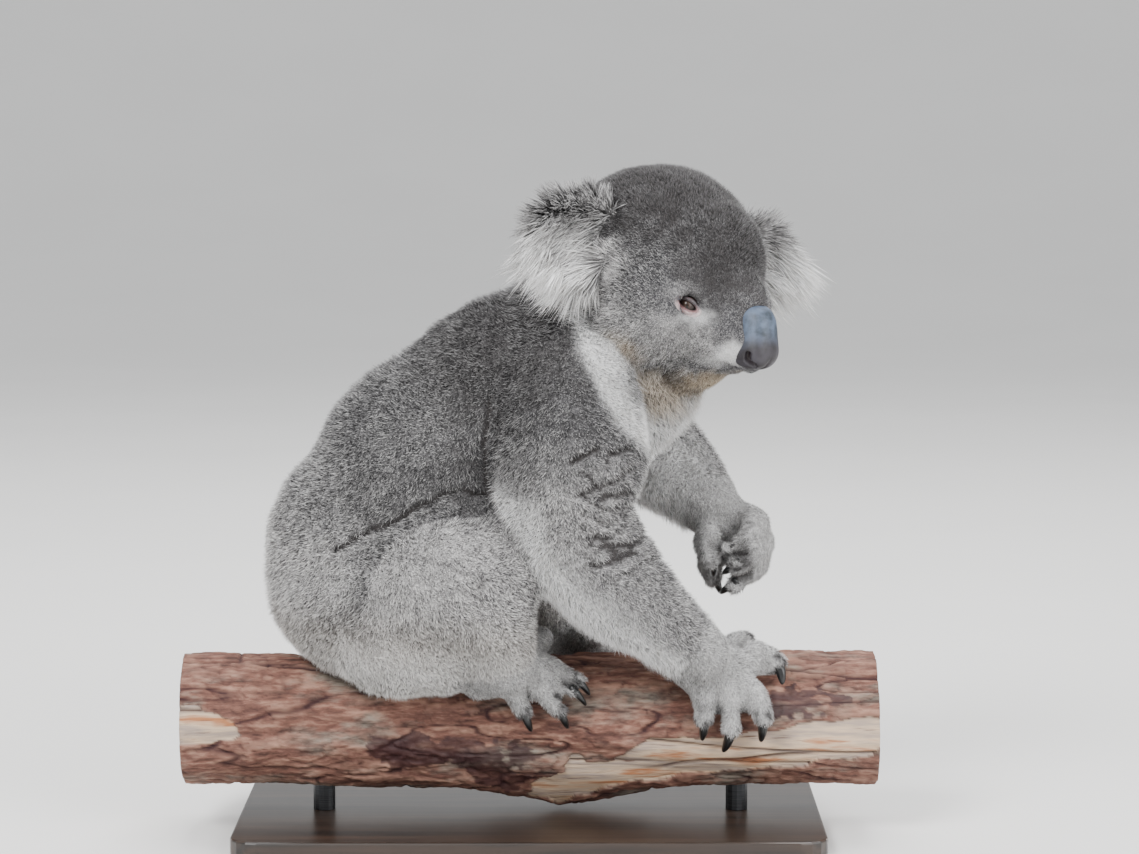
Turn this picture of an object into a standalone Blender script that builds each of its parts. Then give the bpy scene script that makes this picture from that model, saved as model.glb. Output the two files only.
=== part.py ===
"""A life-size koala that sits along a cut length of branch, on a display stand.

Metres, +Z up. The origin is the centre of the stand's underside. The branch runs along X, the koala
faces +X, and its right side faces -Y. The koala's heights are measured from the branch's axis. Soft
forms are modelled as clay: round lumps and swept limbs are laid over each other, fused by a voxel
remesh, smoothed and thinned to flat faces. Discs as thin as a saw cut then part each form at its
joints, and where two forms meet, one is cut back by the other.
"""

import math

import bmesh
import bpy
from mathutils import Matrix, Quaternion, Vector

# ---------------------------------------------------------------- driving dimensions
GAP = 0.0004  # clearance between neighbours
FINE_WEIGHT = 0.5  # how readily a fine region is thinned, against 1 elsewhere

BASE_LENGTH, BASE_WIDTH, BASE_THICKNESS = 0.42, 0.22, 0.012
BASE_CORNER = 0.02
BASE_RIM = 0.0015  # the bevel along the base's upper edge
ROD_RADIUS = 0.008
ROD_SPACING = 0.30
ROD_SOCKET = 0.014  # how far a rod runs up into the branch

LOG_RADIUS = 0.050
LOG_LENGTH = 0.50
LOG_HOLLOW = 0.0035  # the bark's hollows lie this far inside that radius
LOG_HEIGHT = 0.078  # of the branch's axis above the stand's underside
KNOT_SHARE, KNOT_TURN, KNOT_DEPTH = 0.55, 0.25, 0.013  # a swelling under the branch, towards -Y

HEAD_CENTRE = Vector((0.097, -0.014, 0.3290))  # from the branch's axis
HEAD_YAW = -45.0  # the face turns from +X towards the koala's right
HEAD_ROLL = 4.0  # the left ear is lower than the right

EYE_RADIUS = 0.0080
EYE = Vector((0.0560, 0.0360, -0.0245))  # forward, left, up from the head's centre

LEFT_FOOT_SHIFT = 0.045  # how far the left foot is ahead of the right

SHARP_FROM = 35.0  # an edge that turns by more than this many degrees is drawn sharp

# ---------------------------------------------------------------- colours and finishes
FUR_GREY = (0.36, 0.35, 0.35)
FUR_PALE = (0.72, 0.70, 0.66)
LEATHER = (0.10, 0.11, 0.14)
HORN = (0.05, 0.05, 0.055)
EYE_BROWN = (0.05, 0.025, 0.015)
BARK = (0.42, 0.27, 0.20)
STEEL = (0.25, 0.26, 0.27)
BOARD = (0.16, 0.12, 0.09)


def finish(name, colour, roughness, metallic=0.0):
    """A material of one colour."""
    material = bpy.data.materials.new(name)
    material.use_nodes = True
    shader = material.node_tree.nodes["Principled BSDF"]
    shader.inputs["Base Color"].default_value = (*colour, 1.0)
    shader.inputs["Roughness"].default_value = roughness
    shader.inputs["Metallic"].default_value = metallic
    return material


# ---------------------------------------------------------------- places
PERCH = Matrix.Translation((0.0, 0.0, LOG_HEIGHT))  # the koala is placed from the branch's axis


def on_log(x, angle, distance):
    """A point at x along the branch, angle degrees from its top towards -Y, distance from its axis."""
    turn = math.radians(angle)
    return Vector((x, -distance * math.sin(turn), distance * math.cos(turn)))


def head_place():
    """The matrix from (forward, left, up) in the head to the world."""
    turn = Matrix.Rotation(math.radians(HEAD_YAW), 4, "Z")
    roll = Matrix.Rotation(math.radians(-HEAD_ROLL), 4, "X")
    return PERCH @ Matrix.Translation(HEAD_CENTRE) @ turn @ roll


HEAD = head_place()


# ---------------------------------------------------------------- clay
class Clay:
    """Closed lumps and sweeps in one mesh, fused at the end into one smooth body."""

    def __init__(self, place=None):
        self.mesh = bmesh.new()
        self.place = place or PERCH

    def lump(self, centre, radii, turn=(0.0, 0.0, 0.0)):
        """An ellipsoid. turn is in degrees about X, Y and Z."""
        angles = [Matrix.Rotation(math.radians(a), 4, axis) for a, axis in zip(turn, "XYZ")]
        shape = Matrix.Translation(centre) @ angles[2] @ angles[1] @ angles[0]
        shape = shape @ Matrix.Diagonal((*radii, 1.0))
        bmesh.ops.create_icosphere(self.mesh, subdivisions=4, radius=1.0, matrix=self.place @ shape)
        return self

    def pair(self, centre, radii, turn=(0.0, 0.0, 0.0)):
        """The same lump on the left and on the right of the form."""
        self.lump(centre, radii, turn)
        x, y, z = centre
        return self.lump((x, -y, z), radii, (-turn[0], turn[1], -turn[2]))

    def limb(self, stations, steps=6, sides=20):
        """A round limb through stations of (point, radius), with round ends."""
        points = [self.place @ Vector(p) for p, _ in stations]
        sweep(self.mesh, points, [r for _, r in stations], steps, sides, round_ends=True)
        return self

    def fuse(self, name, voxel, smoothing, triangles, material, fine=None):
        """One closed object from all the lumps, with about that many triangles.

        fine is the centre and radius of a ball in which the thinning takes fewer of them away.
        """
        raw = as_object(name + "_raw", self.mesh, material)
        remesh = raw.modifiers.new("fuse", "REMESH")
        remesh.mode = "VOXEL"
        remesh.voxel_size = voxel
        soften = raw.modifiers.new("soften", "SMOOTH")
        soften.factor = 0.5
        soften.iterations = smoothing
        corners = raw.modifiers.new("triangles", "TRIANGULATE")
        corners.min_vertices = 4
        fused = applied(raw, name)
        thin = fused.modifiers.new("thin", "DECIMATE")
        thin.ratio = min(1.0, triangles / len(fused.data.polygons))
        if fine:
            centre, radius = PERCH @ Vector(fine[0]), fine[1]
            coarse = fused.vertex_groups.new(name="coarse")
            for vertex in fused.data.vertices:
                inside = (vertex.co - centre).length < radius
                coarse.add([vertex.index], FINE_WEIGHT if inside else 1.0, "REPLACE")
            thin.vertex_group = coarse.name
        return applied(fused, name)


def smooth_through(values, steps):
    """Catmull-Rom samples through a list of numbers or vectors, steps of them per span."""
    first, last = 2 * values[0] - values[1], 2 * values[-1] - values[-2]
    knots = [first, *values, last]
    found = []
    for i in range(len(values) - 1):
        a, b, c, d = knots[i : i + 4]
        for step in range(steps):
            t = step / steps
            found.append(
                0.5 * (2 * b + (c - a) * t + (2 * a - 5 * b + 4 * c - d) * t**2
                       + (3 * b - a - 3 * c + d) * t**3)
            )
    return [*found, values[-1]]


def sweep(mesh, points, radii, steps, sides, round_ends):
    """A round tube through points, whose ends close as half balls or to the last ring's centre."""
    line, widths = smooth_through(points, steps), smooth_through(radii, steps)
    if round_ends:
        rise = [math.radians(a) for a in (75, 50, 25)]
        start, end = (line[0] - line[1]).normalized(), (line[-1] - line[-2]).normalized()
        before = [(line[0] + start * widths[0] * math.sin(a), widths[0] * math.cos(a)) for a in rise]
        after = [(line[-1] + end * widths[-1] * math.sin(a), widths[-1] * math.cos(a)) for a in rise]
        line = [p for p, _ in before] + line + [p for p, _ in reversed(after)]
        widths = [w for _, w in before] + widths + [w for _, w in reversed(after)]
    tangent = (line[1] - line[0]).normalized()
    across = tangent.orthogonal().normalized()
    rings = []
    for i, (point, width) in enumerate(zip(line, widths)):
        ahead = (line[min(i + 1, len(line) - 1)] - line[max(i - 1, 0)]).normalized()
        across = tangent.rotation_difference(ahead) @ across
        tangent = ahead
        ring = []
        for side in range(sides):
            turn = Quaternion(tangent, 2 * math.pi * side / sides)
            ring.append(mesh.verts.new(point + turn @ across * width))
        rings.append(ring)
    for near, far in zip(rings, rings[1:]):
        for side in range(sides):
            after = (side + 1) % sides
            mesh.faces.new((near[side], near[after], far[after], far[side]))
    mesh.faces.new(reversed(rings[0]))
    mesh.faces.new(rings[-1])
    return rings


# ---------------------------------------------------------------- objects
def as_object(name, mesh, material):
    """A bmesh as an object in the scene. Its faces point out."""
    bmesh.ops.recalc_face_normals(mesh, faces=mesh.faces)
    data = bpy.data.meshes.new(name)
    mesh.to_mesh(data)
    mesh.free()
    made = bpy.data.objects.new(name, data)
    made.data.materials.append(material)
    bpy.context.scene.collection.objects.link(made)
    return made


def applied(obj, name):
    """The object with its modifiers applied, under a new name. The old one is removed."""
    bpy.context.view_layer.update()
    graph = bpy.context.evaluated_depsgraph_get()
    data = bpy.data.meshes.new_from_object(obj.evaluated_get(graph), depsgraph=graph)
    material = obj.data.materials[0]
    bpy.data.objects.remove(obj)
    data.name = name
    data.materials.clear()
    data.materials.append(material)
    made = bpy.data.objects.new(name, data)
    bpy.context.scene.collection.objects.link(made)
    return made


def grown(obj, by):
    """A cutter: a copy of a shape whose surface stands out by that much."""
    mesh = bmesh.new()
    mesh.from_mesh(obj.data)
    mesh.normal_update()
    moved = [v.co + v.normal * by for v in mesh.verts]
    for vertex, place in zip(mesh.verts, moved):
        vertex.co = place
    cutter = as_object(obj.name + "_cutter", mesh, obj.data.materials[0])
    return hidden(cutter)


def hidden(cutter):
    """Marks a helper, which is no part of the koala."""
    cutter.hide_render = True
    cutter.display_type = "WIRE"
    return cutter


def box(obj):
    """An object's lowest and highest corners."""
    corners = [v.co for v in obj.data.vertices]
    return [min(c[i] for c in corners) for i in range(3)], [max(c[i] for c in corners) for i in range(3)]


def near(obj, other):
    """Whether the boxes round two objects overlap."""
    (low, high), (other_low, other_high) = box(obj), box(other)
    return all(low[i] < other_high[i] + GAP and other_low[i] < high[i] + GAP for i in range(3))


def cut(obj, *others):
    """The object less each of the others that it meets, with a thin gap between them."""
    name = obj.name
    cutters = [grown(other, GAP) for other in others if near(obj, other)]
    for cutter in cutters:
        saw = obj.modifiers.new("cut", "BOOLEAN")
        saw.operation = "DIFFERENCE"
        saw.object = cutter
    made = applied(obj, name)
    for cutter in cutters:
        bpy.data.objects.remove(cutter)
    return made


def part(obj, discs, names):
    """Parts an object with thin discs of (centre, normal, radius), and names its pieces.

    names maps a piece's name to a point inside or near it.
    """
    name, material = obj.name, obj.data.materials[0]
    cutters = []
    for centre, normal, radius in discs:
        turn = Vector((0, 0, 1)).rotation_difference(Vector(normal)).to_matrix().to_4x4()
        disc = bmesh.new()
        bmesh.ops.create_cone(
            disc, cap_ends=True, segments=24, radius1=radius, radius2=radius, depth=GAP,
            matrix=Matrix.Translation(centre) @ turn,
        )
        cutters.append(hidden(as_object(name + "_saw", disc, material)))
        saw = obj.modifiers.new("saw", "BOOLEAN")
        saw.operation = "DIFFERENCE"
        saw.object = cutters[-1]
    whole = applied(obj, name)
    for cutter in cutters:
        bpy.data.objects.remove(cutter)
    return separated(whole, names)


def separated(obj, names):
    """Each loose piece of an object as an object of its own. Crumbs without a name are left out."""
    mesh = bmesh.new()
    mesh.from_mesh(obj.data)
    pieces, left = [], set(mesh.verts)
    while left:
        todo, piece = [left.pop()], set()
        while todo:
            vertex = todo.pop()
            piece.add(vertex)
            for edge in vertex.link_edges:
                other = edge.other_vert(vertex)
                if other in left:
                    left.discard(other)
                    todo.append(other)
        pieces.append(piece)
    pieces.sort(key=lambda piece: (-len(piece), min(v.index for v in piece)))
    made = {}
    for name, point in names.items():
        nearest = min(pieces[: len(names)], key=lambda piece: distance_to(piece, Vector(point)))
        made[name] = piece_of(mesh, nearest, name, obj.data.materials[0])
    mesh.free()
    bpy.data.objects.remove(obj)
    return made


def distance_to(piece, point):
    """How far a point is from the middle of a piece's corners."""
    return (sum((v.co for v in piece), Vector()) / len(piece) - point).length


def piece_of(mesh, vertices, name, material):
    """A copy of some of a mesh's corners and the faces between them, as an object."""
    copy = bmesh.new()
    twins = {v: copy.verts.new(v.co) for v in sorted(vertices, key=lambda v: v.index)}
    for face in mesh.faces:
        if face.verts[0] in twins:
            copy.faces.new([twins[v] for v in face.verts])
    return as_object(name, copy, material)


# ---------------------------------------------------------------- the stand and the branch
def make_stand(board, steel):
    """A flat base with rounded corners and two short rods."""
    mesh = bmesh.new()
    bmesh.ops.create_cube(
        mesh, size=1.0,
        matrix=Matrix.Translation((0, 0, BASE_THICKNESS / 2))
        @ Matrix.Diagonal((BASE_LENGTH, BASE_WIDTH, BASE_THICKNESS, 1.0)),
    )
    upright = [e for e in mesh.edges if abs(e.verts[0].co.z - e.verts[1].co.z) > BASE_THICKNESS / 2]
    bmesh.ops.bevel(mesh, geom=upright, offset=BASE_CORNER, segments=4, profile=0.5, affect="EDGES")
    rim = [e for e in mesh.edges if all(v.co.z > BASE_THICKNESS / 2 for v in e.verts)]
    bmesh.ops.bevel(mesh, geom=rim, offset=BASE_RIM, segments=2, profile=0.5, affect="EDGES")
    as_object("stand_base", mesh, board)
    rods = []
    low, top = BASE_THICKNESS + GAP, LOG_HEIGHT - LOG_RADIUS + ROD_SOCKET
    for name, side in (("stand_rod_back", -1), ("stand_rod_front", 1)):
        rod = bmesh.new()
        bmesh.ops.create_cone(
            rod, cap_ends=True, segments=14, radius1=ROD_RADIUS, radius2=ROD_RADIUS, depth=top - low,
            matrix=Matrix.Translation((side * ROD_SPACING / 2, 0, (top + low) / 2)),
        )
        rods.append(as_object(name, rod, steel))
    return rods


def log_swell(share, turn):
    """How far the bark stands out of a cylinder, at a share along it and a turn from its top."""
    broad = 0.0020 * math.sin(2 * turn + 3.1 * share) + 0.0014 * math.sin(3 * turn - 5.3 * share + 1.0)
    ridges = 0.0009 * math.sin(9 * turn + 4.0 * math.sin(6.0 * share))
    waves = 0.0012 * math.sin(17.0 * share + 1.7 * math.sin(turn)) * math.sin(turn + 0.6)
    under = max(0.0, -math.cos(turn - KNOT_TURN)) ** 3
    knot = KNOT_DEPTH * math.exp(-(((share - KNOT_SHARE) / 0.10) ** 2)) * under
    return broad + ridges + waves + knot


def make_log(bark, rods, around=26, along=12):
    """The branch: bark swells, a knot beneath, and both ends sawn off square."""
    mesh = bmesh.new()
    rings = []
    for i in range(along + 1):
        share = i / along
        ring = []
        for j in range(around):
            turn = 2 * math.pi * j / around
            radius = LOG_RADIUS - LOG_HOLLOW + log_swell(share, turn)
            point = on_log((share - 0.5) * LOG_LENGTH, math.degrees(turn), radius)
            ring.append(mesh.verts.new(PERCH @ point))
        rings.append(ring)
    for near, far in zip(rings, rings[1:]):
        for j in range(around):
            after = (j + 1) % around
            mesh.faces.new((near[j], near[after], far[after], far[j]))
    mesh.faces.new(reversed(rings[0]))
    mesh.faces.new(rings[-1])
    return cut(as_object("perch_log", mesh, bark), *rods)


# ---------------------------------------------------------------- trunk, neck and head
def make_torso(fur):
    """Trunk and neck as one smooth form, parted at the nape."""
    clay = Clay()
    clay.lump((-0.100, 0.000, 0.102), (0.092, 0.092, 0.082))  # rump
    clay.lump((-0.128, 0.000, 0.125), (0.066, 0.076, 0.080))  # tail end
    clay.lump((-0.060, 0.000, 0.138), (0.087, 0.090, 0.087))  # belly
    clay.lump((-0.064, 0.000, 0.185), (0.098, 0.085, 0.088), (0, -30, 0))  # back
    clay.lump((-0.014, 0.000, 0.225), (0.094, 0.079, 0.086), (0, -35, 0))  # ribs
    clay.lump((0.030, 0.000, 0.260), (0.072, 0.072, 0.072))  # shoulders
    clay.lump((0.030, 0.000, 0.208), (0.062, 0.064, 0.060))  # breast
    clay.limb([((0.035, 0.0, 0.262), 0.067), ((0.066, -0.006, 0.286), 0.063), ((0.090, -0.012, 0.308), 0.058)])
    clay.limb([((0.060, -0.004, 0.228), 0.048), ((0.090, -0.016, 0.250), 0.042)])  # throat
    torso = clay.fuse("torso", 0.0050, 26, 690, fur)
    nape = (PERCH @ Vector((0.034, -0.002, 0.260)), (0.66, -0.08, 0.75), 0.125)
    return part(torso, [nape], {"neck": PERCH @ Vector((0.075, -0.01, 0.28)),
                                "trunk": PERCH @ Vector((-0.060, 0.0, 0.160))})


def make_head(fur):
    """Skull, brow, cheeks and muzzle as one form, in (forward, left, up)."""
    clay = Clay(HEAD)
    clay.lump((-0.008, 0.000, 0.017), (0.067, 0.069, 0.058))  # skull
    clay.lump((-0.030, 0.000, -0.015), (0.050, 0.060, 0.055))  # nape
    clay.lump((0.031, 0.000, 0.006), (0.047, 0.052, 0.050))  # forehead
    clay.pair((0.010, 0.034, -0.028), (0.051, 0.038, 0.045), (0, 0, 12))  # cheeks
    clay.lump((0.061, 0.000, -0.043), (0.034, 0.032, 0.028))  # muzzle
    clay.lump((0.064, 0.000, -0.022), (0.033, 0.021, 0.030), (0, 20, 0))  # bridge of the nose
    return clay.fuse("head", 0.0035, 7, 560, fur)


def make_jaw(fur):
    """The lower jaw, which closes against the cheeks and the muzzle."""
    clay = Clay(HEAD)
    clay.lump((0.050, 0.0, -0.069), (0.024, 0.018, 0.016), (0, -8, 0))
    clay.lump((0.026, 0.0, -0.068), (0.034, 0.028, 0.020))
    return clay.fuse("jaw", 0.0035, 4, 110, fur)


def make_nose(leather):
    """The broad nose pad, from the bridge down to the mouth."""
    clay = Clay(HEAD)
    clay.lump((0.084, 0.0, -0.051), (0.021, 0.0175, 0.020))
    clay.lump((0.082, 0.0, -0.038), (0.017, 0.0145, 0.018), (0, 12, 0))
    return clay.fuse("nose", 0.0022, 3, 150, leather)


def make_eye(name, side, glass):
    """An eyeball that stands out of the head only as far as the lids let it show."""
    ball = bmesh.new()
    place = HEAD @ Matrix.Translation((EYE.x, side * EYE.y, EYE.z))
    bmesh.ops.create_icosphere(ball, subdivisions=2, radius=EYE_RADIUS, matrix=place)
    return as_object(name, ball, glass)


def make_ear(name, side, root_height, sweep_back, reach, half_height, fur):
    """A round ear out to the tips of its fringe, which hangs below it.

    side is 1 on the left, sweep_back is in degrees, and reach is the ear's length from its root.
    """
    root = Vector((0.002, side * 0.060, root_height))
    turn = Matrix.Rotation(math.radians(side * (90 + sweep_back)), 4, "Z")
    clay = Clay(HEAD @ Matrix.Translation(root) @ turn)
    clay.lump((reach * 0.54, 0.0, 0.0), (reach * 0.48, 0.015, half_height))
    clay.lump((reach * 0.50, 0.0, -half_height * 0.45), (reach * 0.46, 0.013, half_height * 0.72))
    clay.lump((reach * 0.14, 0.0, 0.0), (reach * 0.30, 0.016, half_height * 0.80))
    return clay.fuse(name, 0.0035, 4, 150, fur)


# ---------------------------------------------------------------- arms and legs
RIGHT_HAND = {  # each digit's stations on the branch: (x, angle, distance, radius), then its claw's
    5: ([(0.1170, 50, 0.063, 0.0100), (0.1225, 66, 0.0610, 0.0088), (0.1235, 78, 0.0585, 0.0070)],
        [(0.1235, 74, 0.0600), (0.1238, 86, 0.0610), (0.1225, 95, 0.0545)]),
    4: ([(0.1330, 50, 0.064, 0.0105), (0.1430, 68, 0.0620, 0.0096), (0.1432, 83, 0.0595, 0.0076)],
        [(0.1435, 79, 0.0612), (0.1412, 93, 0.0622), (0.1372, 104, 0.0545)]),
    3: ([(0.1460, 50, 0.062, 0.0100), (0.1610, 63, 0.0605, 0.0092), (0.1645, 76, 0.0585, 0.0072)],
        [(0.1645, 73, 0.0602), (0.1655, 86, 0.0612), (0.1640, 96, 0.0545)]),
    2: ([(0.1460, 39, 0.060, 0.0115), (0.1620, 35, 0.0592, 0.0108), (0.1730, 37, 0.0572, 0.0086)],
        [(0.1720, 37, 0.0600), (0.1800, 42, 0.0600), (0.1800, 52, 0.0535)]),
    1: ([(0.1380, 26, 0.060, 0.0100), (0.1480, 16, 0.0580, 0.0090), (0.1540, 10, 0.0562, 0.0074)],
        [(0.1535, 10, 0.0580), (0.1610, 6, 0.0582), (0.1645, 3, 0.0532)]),
}

RIGHT_FOOT = {  # digits 2 and 3 share one sheath but keep two claws, and the first digit has none
    5: ([(-0.0120, 54, 0.066, 0.0098), (-0.0085, 66, 0.0615, 0.0084), (-0.0045, 75, 0.0590, 0.0066)],
        [(-0.0048, 72, 0.0602), (-0.0012, 81, 0.0612), (0.0016, 88, 0.0545)]),
    4: ([(0.0050, 54, 0.066, 0.0100), (0.0140, 65, 0.0620, 0.0088), (0.0200, 73, 0.0595, 0.0070)],
        [(0.0195, 71, 0.0610), (0.0245, 79, 0.0618), (0.0272, 86, 0.0545)]),
    3: ([(0.0125, 45, 0.067, 0.0102), (0.0240, 50, 0.0625, 0.0090), (0.0315, 55, 0.0600, 0.0074)],
        [(0.0295, 59, 0.0610), (0.0365, 64, 0.0618), (0.0402, 69, 0.0545)]),
    2: (None, [(0.0315, 52, 0.0615), (0.0390, 57, 0.0620), (0.0430, 61, 0.0545)]),
    1: ([(-0.0060, 38, 0.068, 0.0130), (0.0040, 22, 0.0660, 0.0120), (0.0080, 8, 0.0625, 0.0100)], None),
}

LEFT_HAND = {  # curled about an upright stem: stations of (point, radius), then the claw's points
    5: ([((0.1550, 0.047, 0.116), 0.0105), ((0.1665, 0.030, 0.111), 0.0105),
         ((0.1580, 0.013, 0.105), 0.0095), ((0.1500, 0.010, 0.101), 0.0078)],
        [(0.1510, 0.0095, 0.1005), (0.1425, 0.0100, 0.0955), (0.1380, 0.0155, 0.0900)]),
    4: ([((0.1570, 0.046, 0.131), 0.0112), ((0.1690, 0.028, 0.126), 0.0112),
         ((0.1600, 0.009, 0.119), 0.0100), ((0.1520, 0.006, 0.115), 0.0082)],
        [(0.1530, 0.0055, 0.1145), (0.1445, 0.0060, 0.1100), (0.1400, 0.0120, 0.1050)]),
    3: ([((0.1530, 0.046, 0.145), 0.0108), ((0.1655, 0.028, 0.141), 0.0108),
         ((0.1580, 0.010, 0.134), 0.0095), ((0.1510, 0.008, 0.129), 0.0078)],
        [(0.1520, 0.0075, 0.1285), (0.1435, 0.0080, 0.1250), (0.1395, 0.0140, 0.1200)]),
    2: ([((0.1360, 0.042, 0.135), 0.0110), ((0.1275, 0.025, 0.127), 0.0105), ((0.1295, 0.012, 0.118), 0.0085)],
        [(0.1295, 0.0115, 0.1185), (0.1335, 0.0095, 0.1100), (0.1325, 0.0160, 0.1020)]),
    1: ([((0.1370, 0.048, 0.122), 0.0105), ((0.1300, 0.040, 0.109), 0.0100), ((0.1340, 0.029, 0.101), 0.0082)],
        [(0.1335, 0.0290, 0.1015), (0.1370, 0.0240, 0.0950), (0.1390, 0.0290, 0.0880)]),
}


def on_branch(stations, side=1, shift=0.0):
    """A digit's stations as (point, radius). side -1 puts them past the top of the branch."""
    return [(on_log(x + shift, side * angle, distance), radius) for x, angle, distance, radius in stations]


def claw_line(stations, side=1, shift=0.0):
    """A claw's stations on the branch as points."""
    return [on_log(x + shift, side * angle, distance) for x, angle, distance in stations]


def make_claw(name, points, thickness, horn):
    """A curved claw that tapers from its root to a blunt point."""
    mesh = bmesh.new()
    radii = [thickness, thickness * 0.86, thickness * 0.22]
    sweep(mesh, [PERCH @ Vector(p) for p in points], radii, 2, 5, round_ends=False)
    return as_object(name, mesh, horn)


def make_right_arm(fur):
    """The arm that leans on the branch."""
    clay = Clay()
    clay.limb([
        ((0.030, -0.048, 0.245), 0.052), ((0.030, -0.066, 0.200), 0.056), ((0.026, -0.074, 0.158), 0.050),
        ((0.058, -0.072, 0.114), 0.041), ((0.092, -0.066, 0.082), 0.031), ((0.122, -0.058, 0.058), 0.0215),
    ])
    clay.limb([(on_log(0.116, 46, 0.072), 0.0195), (on_log(0.134, 42, 0.064), 0.0170)])
    clay.limb([(on_log(0.126, 54, 0.064), 0.0135), (on_log(0.146, 38, 0.060), 0.0130)])
    for stations, _ in RIGHT_HAND.values():
        clay.limb(on_branch(stations), sides=14)
    arm = clay.fuse("arm_right", 0.0022, 3, 760, fur, ((0.145, -0.050, 0.025), 0.050))
    elbow = (PERCH @ Vector((0.034, -0.073, 0.142)), (0.45, 0.05, -0.90), 0.075)
    wrist = (PERCH @ Vector((0.113, -0.060, 0.067)), (0.80, 0.20, -0.57), 0.040)
    return part(arm, [elbow, wrist], {
        "upper_arm_right": PERCH @ Vector((0.030, -0.066, 0.200)),
        "forearm_right": PERCH @ Vector((0.075, -0.070, 0.100)),
        "hand_right": PERCH @ Vector((0.140, -0.050, 0.035)),
    })


def make_left_arm(fur):
    """The arm that reaches forward, with its hand closed about a stem."""
    clay = Clay()
    clay.limb([
        ((0.030, 0.046, 0.232), 0.046), ((0.064, 0.076, 0.210), 0.046), ((0.092, 0.084, 0.186), 0.041),
        ((0.116, 0.070, 0.166), 0.033), ((0.134, 0.052, 0.148), 0.0230),
    ])
    clay.limb([((0.143, 0.048, 0.138), 0.0185), ((0.147, 0.049, 0.121), 0.0165)])
    for stations, _ in LEFT_HAND.values():
        clay.limb(stations, sides=14)
    arm = clay.fuse("arm_left", 0.0022, 3, 720, fur, ((0.150, 0.030, 0.118), 0.050))
    elbow = (PERCH @ Vector((0.088, 0.083, 0.190)), (0.77, -0.12, -0.62), 0.065)
    wrist = (PERCH @ Vector((0.129, 0.057, 0.153)), (0.65, -0.55, -0.52), 0.040)
    return part(arm, [elbow, wrist], {
        "upper_arm_left": PERCH @ Vector((0.050, 0.065, 0.217)),
        "forearm_left": PERCH @ Vector((0.108, 0.072, 0.170)),
        "hand_left": PERCH @ Vector((0.150, 0.035, 0.122)),
    })


def make_leg(name, side, shift, fur):
    """A folded leg whose foot grips the branch. side is 1 on the right, and shift moves its foot."""
    out = -side
    clay = Clay()
    clay.lump((-0.078 + 0.3 * shift, out * 0.062, 0.075), (0.066, 0.040, 0.050), (0, -14, 0))
    clay.limb([
        ((-0.088 + 0.2 * shift, out * 0.060, 0.095), 0.046), ((-0.058 + 0.6 * shift, out * 0.076, 0.114), 0.048),
        ((-0.034 + shift, out * 0.080, 0.120), 0.043),
    ])
    clay.limb([
        ((-0.034 + shift, out * 0.080, 0.116), 0.042), ((-0.028 + shift, out * 0.076, 0.082), 0.037),
        ((-0.018 + shift, out * 0.064, 0.052), 0.024),
    ])
    sole = [(-0.036, 56, 0.0665, 0.0130), (-0.012, 50, 0.0685, 0.0160), (0.004, 48, 0.0675, 0.0155)]
    clay.limb(on_branch(sole, side, shift))
    for stations, _ in RIGHT_FOOT.values():
        if stations:
            clay.limb(on_branch(stations, side, shift), sides=14)
    toes = on_log(0.015 + shift, side * 62, 0.062)
    leg = clay.fuse(name, 0.0022, 3, 560, fur, (toes, 0.042))
    knee = (PERCH @ Vector((-0.024 + shift, out * 0.07, 0.070)), (0.72, 0.0, -0.69), 0.130)
    ankle = (PERCH @ Vector((-0.017 + shift, out * 0.064, 0.057)), (0.25, -out * 0.35, -0.90), 0.048)
    suffix = "_right" if side > 0 else "_left"
    return part(leg, [knee, ankle], {
        "thigh" + suffix: PERCH @ Vector((-0.070 + shift, out * 0.07, 0.100)),
        "shank" + suffix: PERCH @ Vector((-0.010 + shift, out * 0.07, 0.085)),
        "foot" + suffix: PERCH @ on_log(0.0 + shift, side * 50, 0.066),
    })


def make_claws(horn):
    """Five claws on each hand and four on each foot, keyed by the limb piece that holds them."""
    made = {"hand_right": [], "hand_left": [], "foot_right": [], "foot_left": []}
    for digit, (_, claw) in RIGHT_HAND.items():
        made["hand_right"].append(make_claw(f"hand_right_claw_{digit}", claw_line(claw), 0.0040, horn))
    for digit, (_, claw) in LEFT_HAND.items():
        made["hand_left"].append(make_claw(f"hand_left_claw_{digit}", claw, 0.0038, horn))
    for holder, side, shift in (("foot_right", 1, 0.0), ("foot_left", -1, LEFT_FOOT_SHIFT)):
        for digit, (_, claw) in RIGHT_FOOT.items():
            if claw:
                thickness = 0.0036 if digit > 3 else 0.0028
                line = claw_line(claw, side, shift)
                made[holder].append(make_claw(f"{holder}_claw_{digit}", line, thickness, horn))
    return made


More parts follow.
